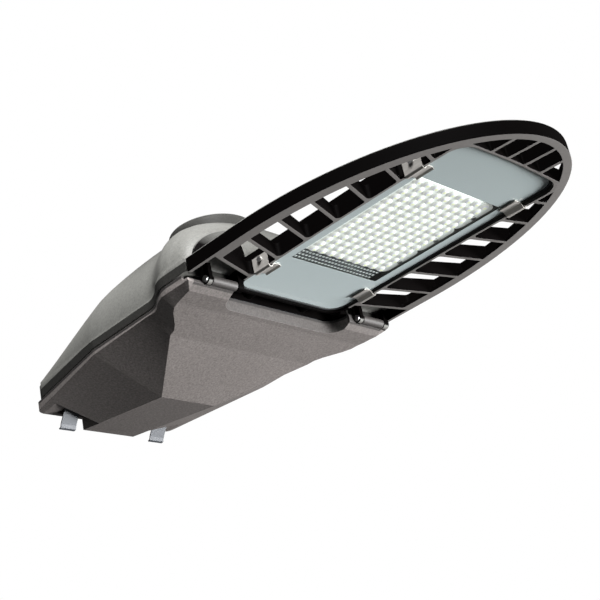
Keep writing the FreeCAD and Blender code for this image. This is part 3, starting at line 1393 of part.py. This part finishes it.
def nodes():
    """Every piece of the head by name."""
    pieces = {
        "housing": housing(),
        "door_cover": door_cover(),
        "front_glass": front_glass(),
        "glass_gasket": glass_gasket(),
        "clip_screws": clip_screws(),
        "lens_screws": lens_screws(),
        "connector_strip": connector_strip(),
        "gear_tray": gear_tray(),
        "tray_screws": tray_screws(),
        "driver": driver(),
        "driver_screws": screws_under(driver_screw_points(), 2.5),
        "surge_protector": surge_protector(),
        "surge_screws": screws_under(surge_screw_points(), 2.5),
        "terminal_block": terminal_block(),
        "terminal_screws": screws_under(terminal_screw_points(), 4),
        "cable_gland": gland_plug(GLAND_Y, GLAND_LENGTH),
        "breather_vent": breather_vent(),
        "earth_screw": earth_screw(),
        "clamp_bolts": group([clamp_bolt(x, y) for x, y in clamp_bolt_points()]),
        "blanking_plate": blanking_plate(),
        "blanking_gasket": blanking_gasket(),
        "blanking_screws": blanking_screws(),
        "compartment_seal": seal_ring(SEAL_INSET, SEAL_WIDTH, -SEAL_PROUD, SEAL_DEPTH),
    }
    for (x, side), name in zip(clip_places(), ("tail_left", "tail_right", "nose_left", "nose_right")):
        pieces["glass_clip_" + name] = glass_clip(x, side)
    for index, centre in enumerate(module_centres(), 1):
        pieces[f"led_board_{index}"] = led_board(centre)
        pieces[f"led_chips_{index}"] = led_chips(centre)
        pieces[f"lens_plate_{index}"] = lens_plate(centre)
    for index, x in enumerate(STRAP_XS, 1):
        pieces[f"pole_strap_{index}"] = strap(x)
    for start, name in zip(knuckle_starts(), ("left", "right")):
        pieces["hinge_pin_" + name] = hinge_pin(start)
    for side, name in ((-1, "left"), (1, "right")):
        pieces["latch_lever_" + name] = latch_lever(side)
        pieces["latch_pin_" + name] = latch_pin(side)
    return pieces


os.makedirs("parts", exist_ok=True)
for name, shape in nodes().items():
    shape.translate(Vector(0, 0, -POLE_AXIS_HEIGHT))
    shape.exportStep("parts/" + name + ".step")
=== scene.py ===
import json
import math
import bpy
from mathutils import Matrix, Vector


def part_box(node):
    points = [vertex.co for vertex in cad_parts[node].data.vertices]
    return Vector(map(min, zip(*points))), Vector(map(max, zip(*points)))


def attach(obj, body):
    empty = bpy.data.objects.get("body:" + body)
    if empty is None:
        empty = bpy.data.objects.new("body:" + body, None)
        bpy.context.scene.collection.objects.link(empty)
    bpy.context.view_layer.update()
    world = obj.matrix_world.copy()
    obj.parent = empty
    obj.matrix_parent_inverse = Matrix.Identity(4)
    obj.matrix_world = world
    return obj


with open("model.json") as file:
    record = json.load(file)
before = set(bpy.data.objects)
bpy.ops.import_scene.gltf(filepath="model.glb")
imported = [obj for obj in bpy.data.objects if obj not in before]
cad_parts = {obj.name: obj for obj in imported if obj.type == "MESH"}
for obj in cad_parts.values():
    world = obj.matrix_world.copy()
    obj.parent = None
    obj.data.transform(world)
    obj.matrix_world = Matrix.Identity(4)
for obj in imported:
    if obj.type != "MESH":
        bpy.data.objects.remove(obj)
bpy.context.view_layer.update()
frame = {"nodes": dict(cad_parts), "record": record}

from types import SimpleNamespace

import bpy
from mathutils import Matrix, Vector
from mathutils.geometry import tessellate_polygon

nodes = frame["nodes"]
scene = bpy.context.scene


# Zones where the coats change, in metres in the row's frame

RING_TAIL_X = 0.3255
RIB_TOP = -0.0125
BAND_TOP = -0.004
RECESS_MARGIN = 0.0015
GAP_X = (0.285, 0.3335)
GAP_Z = (-0.04, -0.004)
GAP_HALF = 0.09
SHADE_RADIUS = 0.12
SHADE_WIDTH = 0.055
SHADE_LOW = 0.02
DOOR_RIM_Z = -0.0185
DOOR_FRONT_X = 0.25
LIP_X = 0.3215
LIP_HALF = 0.14

# Slopes: a face is upright where its normal is nearly level, and under where it points down

LEVEL_NORMAL = 0.6
UPRIGHT_GAIN = 4.0
DOWN_NORMAL = -0.9
FORWARD_NORMAL = 0.25
FORWARD_GAIN = 1.2

# How far each zone goes to its own tone: painted shade, or under the ring a painted lit tone

BAND_SHARE = 0.8
SHADE_SHARE = 0.75
RIB_SHARE = 0.6
DOOR_RIM_SHARE = 0.85
DOOR_FRONT_SHARE = 0.6
LIP_SHARE = 0.75

# Coats of the two castings

CAST_LOW = (0.105, 0.105, 0.098)
CAST_HIGH = (0.15, 0.15, 0.14)
CAST_ROUGHNESS = 0.55
CAST_GRAIN_HEIGHT = 0.00006
DOOR_LOW = (0.105, 0.094, 0.089)
DOOR_HIGH = (0.195, 0.177, 0.169)
DOOR_ROUGHNESS = 0.6
DOOR_GRAIN_HEIGHT = 0.0002
# Near-black painted shade on walls turned from the light, in the tail gap and round the boss
PAINTED_SHADE_TONE = (0.0016, 0.0013, 0.0013)
# Warmer painted lit tone on the faces under the ring that point down
PAINTED_LIT_RIB_TONE = (0.13, 0.119, 0.116)
COAT_PATCH = 0.09
COAT_PATCH_SHARE = 0.12
COAT_GRAIN = 0.0022
COAT_GLOSS_CHANGE = 0.03
COAT_BUMP = 0.6
COAT_SPECULAR = 0.3
WALL_SPECULAR = 0.01
EDGE_ROUNDING = 0.0007
DOME_ROUNDING = 0.0087
ROUNDING_SAMPLES = 6
NOISE_MIDDLE = (0.3, 0.7)
FINE_DETAIL = 2.0

# Steel, plastic, print and glass

STEEL_LINE = 0.001
STEEL_DARK = 0.85
STEEL_GLOSS_CHANGE = 0.12
STEEL_BUMP = 0.3
STEEL_BUMP_HEIGHT = 0.00002
PLASTIC_GRAIN = 0.0006
PLASTIC_DARK = 0.9
PLASTIC_BUMP = 0.4
PLASTIC_BUMP_HEIGHT = 0.00003
# The print's grey-blue, with painted light that makes it lighter towards the tail
PRINT_TONES_AND_PAINTED_LIGHT = ((0.32, (0.44, 0.485, 0.495)), (0.46, (0.37, 0.41, 0.42)), (0.62, (0.29, 0.32, 0.325)))
PRINT_ROUGHNESS = 0.4
PRINT_GRAIN = 0.0008
PRINT_BUMP = 0.3
PRINT_BUMP_HEIGHT = 0.00002
GLASS_TINT = (0.955, 0.975, 0.97)
GLASS_ROUGHNESS = 0.04
GLASS_IOR = 1.4
GLASS_CORNER = 0.018

# Printed border on the glass's lower face, and its window over the modules

PRINT_INSET = 0.0008
PRINT_DEPTHS = (0.0001, 0.0003)
WINDOW_X = (0.387, 0.556)
WINDOW_HALF = 0.063
WINDOW_CORNER = 0.002

# Lenses, with their tints from the middle of a lens to its edge

MODULES = (1, 2, 3)
LENS_COLUMNS = 5
LENS_ROWS = 10
LENS_PITCH_X = 0.010
LENS_PITCH_Y = 0.0128
LENS_RADIUS = 0.0049
LENS_HEIGHT = 0.0026
LENS_COVER = 0.0002
LENS_TINTS = (
    (0.0, (0.5, 0.5, 0.28)),
    (0.35, (0.52, 0.52, 0.36)),
    (0.5, (0.5, 0.5, 0.5)),
    (0.7, (0.44, 0.42, 0.5)),
    (0.85, (0.5, 0.5, 0.46)),
    (1.0, (0.5, 0.5, 0.48)),
)
LENS_ROUGHNESS = 0.4
LENS_IOR = 1.49
# Painted glow on the lens domes
LENS_PAINTED_GLOW = 0.9

# Contacts on the dark strip

CONTACT_ROWS = 3
CONTACT_COUNT = 26
CONTACT_HALF_X = 0.0011
CONTACT_HALF_Y = 0.0013
CONTACT_END_GAP = 0.004
CONTACT_OUT = 0.0002
CONTACT_IN = 0.0004

# Camera, backdrop and floor

CAMERA_PLACE = (1.1287, -0.9452, -0.5903)
CAMERA_RIGHT = (0.69375, 0.69579, -0.18597)
CAMERA_UP = (0.42071, -0.18192, 0.88877)
CAMERA_BACK = (0.58457, -0.69482, -0.41893)
CAMERA_LENS = 78.06
CAMERA_SENSOR = 36.0
CAMERA_REACH = 50.0
WHITE = (1, 1, 1, 1)
AMBIENT = 0.1
FLOOR_Z = -3.2
FLOOR_HALF = 9
FLOOR_TONE = 0.9
FLOOR_ROUGHNESS = 0.9
FLOOR_GLOW = 0.85


# Places that the frame gives

glass_low, glass_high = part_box("front_glass")
gasket_low, gasket_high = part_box("glass_gasket")
plate_low, plate_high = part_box("blanking_plate")
recess_half = gasket_high.y + RECESS_MARGIN
recess_nose = gasket_high.x + RECESS_MARGIN
boss_x = (plate_low.x + plate_high.x) / 2


# Shader helpers


def new_material(name):
    """Node material with its node tree and its Principled shader."""
    material = bpy.data.materials.new(name)
    material.use_nodes = True
    tree = material.node_tree
    shader = tree.nodes["Principled BSDF"]
    return material, tree, shader


def add(tree, kind, **values):
    """Shader node with some of its properties set."""
    node = tree.nodes.new(kind)
    for key, value in values.items():
        setattr(node, key, value)
    return node


def object_point(tree, scale=(1, 1, 1)):
    """Object coordinates in metres, each times its own scale."""
    coords = add(tree, "ShaderNodeTexCoord")
    mapping = add(tree, "ShaderNodeMapping")
    mapping.inputs["Scale"].default_value = scale
    tree.links.new(coords.outputs["Object"], mapping.inputs["Vector"])
    return mapping.outputs["Vector"]


def parts_of(tree, vector):
    """The X, Y and Z of a vector."""
    node = add(tree, "ShaderNodeSeparateXYZ")
    tree.links.new(vector, node.inputs[0])
    return tuple(node.outputs)


def noise(tree, vector, size, detail=3.0):
    """Noise with features of the given size in metres."""
    node = add(tree, "ShaderNodeTexNoise")
    node.inputs["Scale"].default_value = 1 / size
    node.inputs["Detail"].default_value = detail
    tree.links.new(vector, node.inputs["Vector"])
    return node.outputs["Fac"]


def ramp(tree, value, stops):
    """Colour ramp through (position, grey or colour) stops."""
    node = add(tree, "ShaderNodeValToRGB")
    elements = node.color_ramp.elements
    while len(elements) < len(stops):
        elements.new(0.5)
    for element, (position, colour) in zip(elements, stops):
        element.position = position
        rgb = colour if isinstance(colour, tuple) else (colour, colour, colour)
        element.color = (*rgb, 1)
    tree.links.new(value, node.inputs["Fac"])
    return node.outputs["Color"]


def shades(tree, value, low, high):
    """Ramp from low to high over the middle of a noise's range."""
    return ramp(tree, value, tuple(zip(NOISE_MIDDLE, (low, high))))


def darker(colour, share):
    """Colour at a share of its brightness."""
    return tuple(part * share for part in colour)


def bump(tree, shader, height, distance, strength, rounding=0.0):
    """Bump on the shader from a height, over edges that look rounded by some metres."""
    node = add(tree, "ShaderNodeBump")
    if rounding:
        edge = add(tree, "ShaderNodeBevel", name="rounding", samples=ROUNDING_SAMPLES)
        edge.inputs["Radius"].default_value = rounding
        tree.links.new(edge.outputs["Normal"], node.inputs["Normal"])
    node.inputs["Distance"].default_value = distance
    node.inputs["Strength"].default_value = strength
    tree.links.new(height, node.inputs["Height"])
    tree.links.new(node.outputs["Normal"], shader.inputs["Normal"])


def mixed(tree, share, first, second):
    """Colour between a socket and a plain colour."""
    mix = add(tree, "ShaderNodeMixRGB")
    tree.links.new(share, mix.inputs["Fac"])
    tree.links.new(first, mix.inputs["Color1"])
    mix.inputs["Color2"].default_value = (*second, 1)
    return mix.outputs["Color"]


# Sums on sockets and plain numbers


def calc(tree, operation, *values):
    """Maths node with its values in order."""
    node = add(tree, "ShaderNodeMath", operation=operation)
    for socket, value in zip(node.inputs, values):
        if isinstance(value, (int, float)):
            socket.default_value = value
        else:
            tree.links.new(value, socket)
    return node.outputs[0]


def product(tree, first, *others):
    """Product of all values."""
    for value in others:
        first = calc(tree, "MULTIPLY", first, value)
    return first


def largest(tree, first, *others):
    """Largest of all values."""
    for value in others:
        first = calc(tree, "MAXIMUM", first, value)
    return first


def clamped(tree, value, top):
    """Value kept between nought and a top."""
    return calc(tree, "MINIMUM", calc(tree, "MAXIMUM", value, 0.0), top)


def above(tree, value, limit):
    """One where the value is over a limit, else nought."""
    return calc(tree, "GREATER_THAN", value, limit)


def below(tree, value, limit):
    """One where the value is under a limit, else nought."""
    return calc(tree, "LESS_THAN", value, limit)


def between(tree, value, low, high):
    """One where the value lies between two limits, else nought."""
    return product(tree, above(tree, value, low), below(tree, value, high))


# Coats of the castings


def powder_coat(name, low, high, roughness, grain_height):
    """Painted metal with a fine grain, a slow change of tone and slight changes of gloss."""
    material, tree, shader = new_material(name)
    point = object_point(tree)
    patch = noise(tree, point, COAT_PATCH)
    grain = noise(tree, point, COAT_GRAIN, FINE_DETAIL)
    rest = product(tree, grain, 1 - COAT_PATCH_SHARE)
    colour = shades(tree, calc(tree, "MULTIPLY_ADD", patch, COAT_PATCH_SHARE, rest), low, high)
    gloss = shades(tree, patch, roughness - COAT_GLOSS_CHANGE, roughness + COAT_GLOSS_CHANGE)
    tree.links.new(gloss, shader.inputs["Roughness"])
    bump(tree, shader, grain, grain_height, COAT_BUMP, EDGE_ROUNDING)
    return material, tree, shader, colour


def surface(tree):
    """Where a point of the surface lies and how its face is turned."""
    x, y, z = parts_of(tree, object_point(tree))
    normal = parts_of(tree, add(tree, "ShaderNodeNewGeometry").outputs["Normal"])
    level = calc(tree, "SUBTRACT", LEVEL_NORMAL, calc(tree, "ABSOLUTE", normal[2]))
    return SimpleNamespace(
        x=x, y=y, z=z,
        side=calc(tree, "ABSOLUTE", y),
        forward=normal[0],
        upright=clamped(tree, product(tree, level, UPRIGHT_GAIN), 1.0),
        under=below(tree, normal[2], DOWN_NORMAL))


def door_lip_shade(tree, at):
    """Painted shade on the door's folds that face forward, and on its edge at the hinges."""
    slope = calc(tree, "SUBTRACT", at.forward, FORWARD_NORMAL)
    front = clamped(tree, product(tree, slope, FORWARD_GAIN), DOOR_FRONT_SHARE)
    front = product(tree, front, above(tree, at.x, DOOR_FRONT_X))
    edge = product(tree, above(tree, at.x, LIP_X), LIP_SHARE)
    return product(tree, largest(tree, front, edge), below(tree, at.side, LIP_HALF))


def door_coat(name):
    """Powder coat of the door, with painted shade on its upright rim and its lip."""
    material, tree, shader, colour = powder_coat(
        name, DOOR_LOW, DOOR_HIGH, DOOR_ROUGHNESS, DOOR_GRAIN_HEIGHT)
    at = surface(tree)
    rim = product(tree, at.upright, above(tree, at.z, DOOR_RIM_Z), DOOR_RIM_SHARE)
    painted_shade = largest(tree, rim, door_lip_shade(tree, at))
    tree.links.new(mixed(tree, painted_shade, colour, PAINTED_SHADE_TONE), shader.inputs["Base Color"])
    return material


def wall_shade(tree, at):
    """Painted shade on the upright walls of the band and of the ring, apart from those of the glass's
    recess.
    """
    ring = above(tree, at.x, RING_TAIL_X)
    recess = product(
        tree, below(tree, at.side, recess_half), between(tree, at.x, RING_TAIL_X, recess_nose))
    band = product(tree, below(tree, at.z, BAND_TOP), BAND_SHARE)
    return product(tree, at.upright, largest(tree, calc(tree, "SUBTRACT", ring, recess), band))


def boss_shade(tree, at):
    """Painted shade on the top of the dome round the boss, fading outwards."""
    along = calc(tree, "SUBTRACT", at.x, boss_x)
    squares = calc(tree, "MULTIPLY_ADD", along, along, product(tree, at.y, at.y))
    inward = calc(tree, "SUBTRACT", SHADE_RADIUS, calc(tree, "SQRT", squares))
    fade = clamped(tree, product(tree, inward, 1 / SHADE_WIDTH), SHADE_SHARE)
    return product(tree, fade, above(tree, at.z, SHADE_LOW))


def tail_gap_shade(tree, at):
    """Painted shade in the gap between the door and the tail of the lamp body."""
    along = between(tree, at.x, *GAP_X)
    return product(tree, along, between(tree, at.z, *GAP_Z), below(tree, at.side, GAP_HALF))


def casting_coat(name):
    """Powder coat of the casting: painted shade in three zones, a warmer painted lit tone under the
    ring, softer on the dome.
    """
    material, tree, shader, colour = powder_coat(
        name, CAST_LOW, CAST_HIGH, CAST_ROUGHNESS, CAST_GRAIN_HEIGHT)
    at = surface(tree)
    in_ring = above(tree, at.x, RING_TAIL_X)
    lit_ribs = product(tree, at.under, in_ring, below(tree, at.z, RIB_TOP), RIB_SHARE)
    colour = mixed(tree, lit_ribs, colour, PAINTED_LIT_RIB_TONE)
    painted_shade = largest(tree, wall_shade(tree, at), boss_shade(tree, at), tail_gap_shade(tree, at))
    tree.links.new(mixed(tree, painted_shade, colour, PAINTED_SHADE_TONE), shader.inputs["Base Color"])
    specular = calc(tree, "MULTIPLY_ADD", painted_shade, WALL_SPECULAR - COAT_SPECULAR, COAT_SPECULAR)
    tree.links.new(specular, shader.inputs["Specular IOR Level"])
    dome = product(tree, below(tree, at.x, RING_TAIL_X), above(tree, at.z, BAND_TOP))
    radius = calc(tree, "MULTIPLY_ADD", dome, DOME_ROUNDING - EDGE_ROUNDING, EDGE_ROUNDING)
    tree.links.new(radius, tree.nodes["rounding"].inputs["Radius"])
    return material


# Other materials


def metal(name, colour, roughness, stretch=(1, 1, 1), metallic=1.0):
    """Bright metal with fine lines, drawn out along the axis where stretch is small."""
    material, tree, shader = new_material(name)
    lines = noise(tree, object_point(tree, stretch), STEEL_LINE, FINE_DETAIL)
    tone = shades(tree, lines, darker(colour, STEEL_DARK), colour)
    gloss = shades(tree, lines, roughness, roughness + STEEL_GLOSS_CHANGE)
    tree.links.new(tone, shader.inputs["Base Color"])
    tree.links.new(gloss, shader.inputs["Roughness"])
    shader.inputs["Metallic"].default_value = metallic
    bump(tree, shader, lines, STEEL_BUMP_HEIGHT, STEEL_BUMP)
    return material


def plastic(name, colour, roughness, glow=0.0):
    """Moulded plastic or rubber with a faint grain."""
    material, tree, shader = new_material(name)
    grain = noise(tree, object_point(tree), PLASTIC_GRAIN, FINE_DETAIL)
    tone = shades(tree, grain, darker(colour, PLASTIC_DARK), colour)
    tree.links.new(tone, shader.inputs["Base Color"])
    shader.inputs["Roughness"].default_value = roughness
    shader.inputs["Emission Color"].default_value = (*colour, 1)
    shader.inputs["Emission Strength"].default_value = glow
    bump(tree, shader, grain, PLASTIC_BUMP_HEIGHT, PLASTIC_BUMP)
    return material


def print_coat(name):
    """Grey-blue print on the glass, with painted light that makes it lighter towards the tail."""
    material, tree, shader = new_material(name)
    along = parts_of(tree, object_point(tree))[0]
    tree.links.new(ramp(tree, along, PRINT_TONES_AND_PAINTED_LIGHT), shader.inputs["Base Color"])
    shader.inputs["Roughness"].default_value = PRINT_ROUGHNESS
    grain = noise(tree, object_point(tree), PRINT_GRAIN)
    bump(tree, shader, grain, PRINT_BUMP_HEIGHT, PRINT_BUMP)
    return material


def flat_glass(name):
    """Thin clear glass: see-through, with a reflection on its outer faces that grows at low angles."""
    material, tree, shader = new_material(name)
    tree.nodes.remove(shader)
    clear = add(tree, "ShaderNodeBsdfTransparent")
    clear.inputs["Color"].default_value = (*GLASS_TINT, 1)
    shine = add(tree, "ShaderNodeBsdfGlossy")
    shine.inputs["Roughness"].default_value = GLASS_ROUGHNESS
    facing = add(tree, "ShaderNodeFresnel")
    facing.inputs["IOR"].default_value = GLASS_IOR
    inner = add(tree, "ShaderNodeNewGeometry").outputs["Backfacing"]
    share = product(tree, facing.outputs["Fac"], calc(tree, "SUBTRACT", 1.0, inner))
    blend = add(tree, "ShaderNodeMixShader")
    tree.links.new(share, blend.inputs["Fac"])
    tree.links.new(clear.outputs["BSDF"], blend.inputs[1])
    tree.links.new(shine.outputs["BSDF"], blend.inputs[2])
    tree.links.new(blend.outputs["Shader"], tree.nodes["Material Output"].inputs["Surface"])
    return material


def lens_material(name):
    """Clear moulded lens: warm in the middle, over the package, and cooler towards the edge, with a
    painted glow.
    """
    material, tree, shader = new_material(name)
    coords = add(tree, "ShaderNodeUVMap", uv_map="lens")
    outward = parts_of(tree, coords.outputs["UV"])[0]
    tint = ramp(tree, outward, LENS_TINTS)
    tree.links.new(tint, shader.inputs["Base Color"])
    tree.links.new(tint, shader.inputs["Emission Color"])
    shader.inputs["Roughness"].default_value = LENS_ROUGHNESS
    shader.inputs["IOR"].default_value = LENS_IOR
    shader.inputs["Emission Strength"].default_value = LENS_PAINTED_GLOW
    return material


SLOT_LOOKS = {
    "cast_paint": casting_coat("cast_paint"),
    "door_paint": door_coat("door_paint"),
    "clear_glass": flat_glass("clear_glass"),
    "gasket_rubber": plastic("gasket_rubber", (0.025, 0.027, 0.028), 0.6),
    "spring_steel": metal("spring_steel", (0.52, 0.5, 0.47), 0.35, stretch=(0.15, 1, 1), metallic=0.5),
    "fixing_steel": metal("fixing_steel", (0.6, 0.6, 0.6), 0.28),
    "board_white": plastic("board_white", (0.8, 0.81, 0.8), 0.5),
    "chip_phosphor": plastic("chip_phosphor", (0.86, 0.78, 0.3), 0.4),
    # The lens plates carry a painted glow as well
    "lens_clear": plastic("lens_clear", (0.82, 0.83, 0.8), 0.15, glow=0.3),
    "connector_black": plastic("connector_black", (0.03, 0.032, 0.034), 0.5),
    "tray_zinc": metal("tray_zinc", (0.55, 0.56, 0.57), 0.35, stretch=(1, 0.2, 1)),
    "driver_case": metal("driver_case", (0.62, 0.63, 0.64), 0.4, stretch=(0.2, 1, 1)),
    "surge_case": plastic("surge_case", (0.1, 0.1, 0.11), 0.45),
    "terminal_grey": plastic("terminal_grey", (0.33, 0.34, 0.34), 0.5),
    "earth_brass": metal("earth_brass", (0.65, 0.5, 0.24), 0.3),
}
# Latch levers: steel painted nearly black, a painted dark reflection
PAINTED_DARK_LEVER_LOOK = metal("latch_steel", (0.07, 0.076, 0.086), 0.5, stretch=(0.15, 1, 1), metallic=0.15)
LENS_LOOK = lens_material("lens_dome")
CONTACT_LOOK = plastic("contact_light", (0.8, 0.82, 0.82), 0.35)
PRINT_LOOK = print_coat("glass_print")


def dress_nodes():
    """Material of each CAD node: its slot's, apart from the latch levers, whose steel is painted dark.
    """
    slot_of = {row["node"]: row["material_slot"] for row in frame["record"]["subparts"]}
    for name, thing in nodes.items():
        lever = name.startswith("latch_lever")
        thing.data.materials.clear()
        thing.data.materials.append(PAINTED_DARK_LEVER_LOOK if lever else SLOT_LOOKS[slot_of[name]])


# Pieces that only the looks need

SQUARE = ((-1, -1), (1, -1), (1, 1), (-1, 1))


def new_mesh(name, points, faces):
    """Mesh from points and faces."""
    mesh = bpy.data.meshes.new(name)
    mesh.from_pydata(points, [], faces)
    mesh.update()
    return mesh


def shifted(faces, count):
    """Faces whose corners come after a count of earlier points."""
    return [tuple(corner + count for corner in face) for face in faces]


def link(name, mesh, material, body="head"):
    """Object for a mesh, riding on a body."""
    thing = bpy.data.objects.new(name, mesh)
    thing.data.materials.append(material)
    scene.collection.objects.link(thing)
    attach(thing, body)
    return thing


def round_rectangle(middle_x, half_x, half_y, radius, steps=8):
    """Points of a rectangle with round corners, half on each side of the head's middle."""
    points = []
    for side_x, side_y, start in ((1, 1, 0), (-1, 1, 90), (-1, -1, 180), (1, -1, 270)):
        corner_x = middle_x + side_x * (half_x - radius)
        corner_y = side_y * (half_y - radius)
        for step in range(steps + 1):
            angle = math.radians(start + 90 * step / steps)
            points.append((corner_x + radius * math.cos(angle), corner_y + radius * math.sin(angle)))
    return points


def flat_frame(name, outer, inner, low_z, high_z):
    """Flat ring between two outlines, from one height to another."""
    loops = [[Vector((x, y, low_z)) for x, y in outline] for outline in (outer, inner)]
    triangles = tessellate_polygon(loops)
    count = len(outer) + len(inner)
    points = [point for loop in loops for point in loop]
    points += [Vector((point.x, point.y, high_z)) for point in points]
    faces = [tuple(triangle) for triangle in triangles]
    faces += shifted([face[::-1] for face in faces], count)
    for start, size in ((0, len(outer)), (len(outer), len(inner))):
        for step in range(size):
            here = start + step
            after = start + (step + 1) % size
            faces.append((here, after, after + count, here + count))
    return new_mesh(name, points, faces)


def glass_print():
    """Printed border, just inside the glass's lower face; it casts no shadow on the lamp."""
    outer = round_rectangle(
        (glass_low.x + glass_high.x) / 2,
        (glass_high.x - glass_low.x) / 2 - PRINT_INSET,
        (glass_high.y - glass_low.y) / 2 - PRINT_INSET,
        GLASS_CORNER - PRINT_INSET)
    window_tail, window_nose = WINDOW_X
    window = round_rectangle(
        (window_tail + window_nose) / 2, (window_nose - window_tail) / 2, WINDOW_HALF, WINDOW_CORNER)
    low_z, high_z = (glass_low.z + depth for depth in PRINT_DEPTHS)
    mesh = flat_frame("glass_print", outer, window, low_z, high_z)
    link("glass_print", mesh, PRINT_LOOK).visible_shadow = False


def round_lens(middle_x, middle_y, base_z, height, rings=5, turns=14):
    """Points, faces and outward shares of one round lens that points down."""
    points = [(middle_x, middle_y, base_z - height)]
    shares = [0.0]
    for ring in range(1, rings + 1):
        slope = math.pi / 2 * ring / rings
        share = math.sin(slope)
        reach = LENS_RADIUS * share
        z = base_z - height * math.cos(slope)
        for turn in range(turns):
            angle = 2 * math.pi * turn / turns
            points.append((middle_x + reach * math.cos(angle), middle_y + reach * math.sin(angle), z))
            shares.append(share)
    faces = [(0, 1 + (turn + 1) % turns, 1 + turn) for turn in range(turns)]
    for ring in range(rings - 1):
        for turn in range(turns):
            here = 1 + ring * turns + turn
            after = 1 + ring * turns + (turn + 1) % turns
            faces.append((here, after, after + turns, here + turns))
    return SimpleNamespace(points=points, faces=faces, shares=shares)


def lens_array(index):
    """Round lenses on one module, in front of its plate."""
    low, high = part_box(f"lens_plate_{index}")
    points, faces, shares = [], [], []
    for column in range(LENS_COLUMNS):
        x = (low.x + high.x) / 2 + (column - (LENS_COLUMNS - 1) / 2) * LENS_PITCH_X
        for row in range(LENS_ROWS):
            y = (row - (LENS_ROWS - 1) / 2) * LENS_PITCH_Y
            lens = round_lens(x, y, low.z + LENS_HEIGHT, LENS_HEIGHT + LENS_COVER)
            faces += shifted(lens.faces, len(points))
            points += lens.points
            shares += lens.shares
    mesh = new_mesh(f"lens_domes_{index}", points, faces)
    layer = mesh.uv_layers.new(name="lens")
    for loop in mesh.loops:
        layer.data[loop.index].uv = (shares[loop.vertex_index], 0.5)
    mesh.polygons.foreach_set("use_smooth", [True] * len(mesh.polygons))
    link(f"lens_domes_{index}", mesh, LENS_LOOK)


def contact_dot(x, y, strip_z):
    """Points and faces of one low block on the strip's lower face, open where it meets the strip."""
    points = []
    for z in (strip_z - CONTACT_OUT, strip_z + CONTACT_IN):
        points += [(x + i * CONTACT_HALF_X, y + j * CONTACT_HALF_Y, z) for i, j in SQUARE]
    faces = [(3, 2, 1, 0)]
    for here in range(4):
        after = (here + 1) % 4
        faces.append((here, after, after + 4, here + 4))
    return SimpleNamespace(points=points, faces=faces)


def contact_dots():
    """Rows of light contacts on the dark strip."""
    low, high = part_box("connector_strip")
    length = high.y - low.y - 2 * CONTACT_END_GAP
    points, faces = [], []
    for row in range(CONTACT_ROWS):
        x = low.x + (high.x - low.x) * (row + 0.5) / CONTACT_ROWS
        for place in range(CONTACT_COUNT):
            y = low.y + CONTACT_END_GAP + length * place / (CONTACT_COUNT - 1)
            dot = contact_dot(x, y, low.z)
            faces += shifted(dot.faces, len(points))
            points += dot.points
    link("strip_contacts", new_mesh("strip_contacts", points, faces), CONTACT_LOOK)


# Backdrop, light and camera


def set_world():
    """White for the camera and through clear pieces, softer light for everything else."""
    world = bpy.data.worlds.new("backdrop")
    scene.world = world
    world.use_nodes = True
    tree = world.node_tree
    path = add(tree, "ShaderNodeLightPath").outputs
    seen = largest(tree, path["Is Camera Ray"], path["Is Transmission Ray"])
    background = tree.nodes["Background"]
    background.inputs["Color"].default_value = WHITE
    strength = calc(tree, "MULTIPLY_ADD", seen, 1 - AMBIENT, AMBIENT)
    tree.links.new(strength, background.inputs["Strength"])


def area_light(name, place, target, size, power, spread):
    """Large soft light aimed at a point, its beam as wide as spread in degrees."""
    data = bpy.data.lights.new(name, "AREA")
    data.shape = "DISK"
    data.size = size
    data.energy = power
    data.spread = math.radians(spread)
    lamp = bpy.data.objects.new(name, data)
    lamp.location = place
    direction = Vector(target) - Vector(place)
    lamp.rotation_mode = "QUATERNION"
    lamp.rotation_quaternion = direction.to_track_quat("-Z", "Y")
    scene.collection.objects.link(lamp)


def set_camera():
    """Camera from below, on the near flank, as in the photo."""
    data = bpy.data.cameras.new("camera")
    data.lens = CAMERA_LENS
    data.sensor_width = CAMERA_SENSOR
    data.clip_end = CAMERA_REACH
    camera = bpy.data.objects.new("camera", data)
    turn = Matrix((CAMERA_RIGHT, CAMERA_UP, CAMERA_BACK)).transposed()
    camera.matrix_world = Matrix.Translation(CAMERA_PLACE) @ turn.to_4x4()
    scene.collection.objects.link(camera)
    scene.camera = camera


def floor_paint():
    """Pale paint with a glow that only the camera sees."""
    material, tree, shader = new_material("floor")
    shader.inputs["Base Color"].default_value = (FLOOR_TONE, FLOOR_TONE, FLOOR_TONE, 1)
    shader.inputs["Roughness"].default_value = FLOOR_ROUGHNESS
    shader.inputs["Emission Color"].default_value = WHITE
    seen = add(tree, "ShaderNodeLightPath").outputs["Is Camera Ray"]
    tree.links.new(product(tree, seen, FLOOR_GLOW), shader.inputs["Emission Strength"])
    return material


def set_floor():
    """Pale floor far below."""
    points = [(i * FLOOR_HALF, j * FLOOR_HALF, FLOOR_Z) for i, j in SQUARE]
    floor = bpy.data.objects.new("floor", new_mesh("floor", points, [(0, 1, 2, 3)]))
    floor.data.materials.append(floor_paint())
    scene.collection.objects.link(floor)


dress_nodes()
glass_print()
for module in MODULES:
    lens_array(module)
contact_dots()
set_world()
set_camera()
area_light("key", place=(1.94, 1.12, -0.71), target=(0.33, 0.0, 0.0), size=1.0, power=19, spread=60)
area_light("top", place=(0.9, -0.55, 1.0), target=(0.15, -0.05, 0.05), size=0.8, power=12, spread=70)
set_floor()
scene.view_settings.view_transform = "Standard"
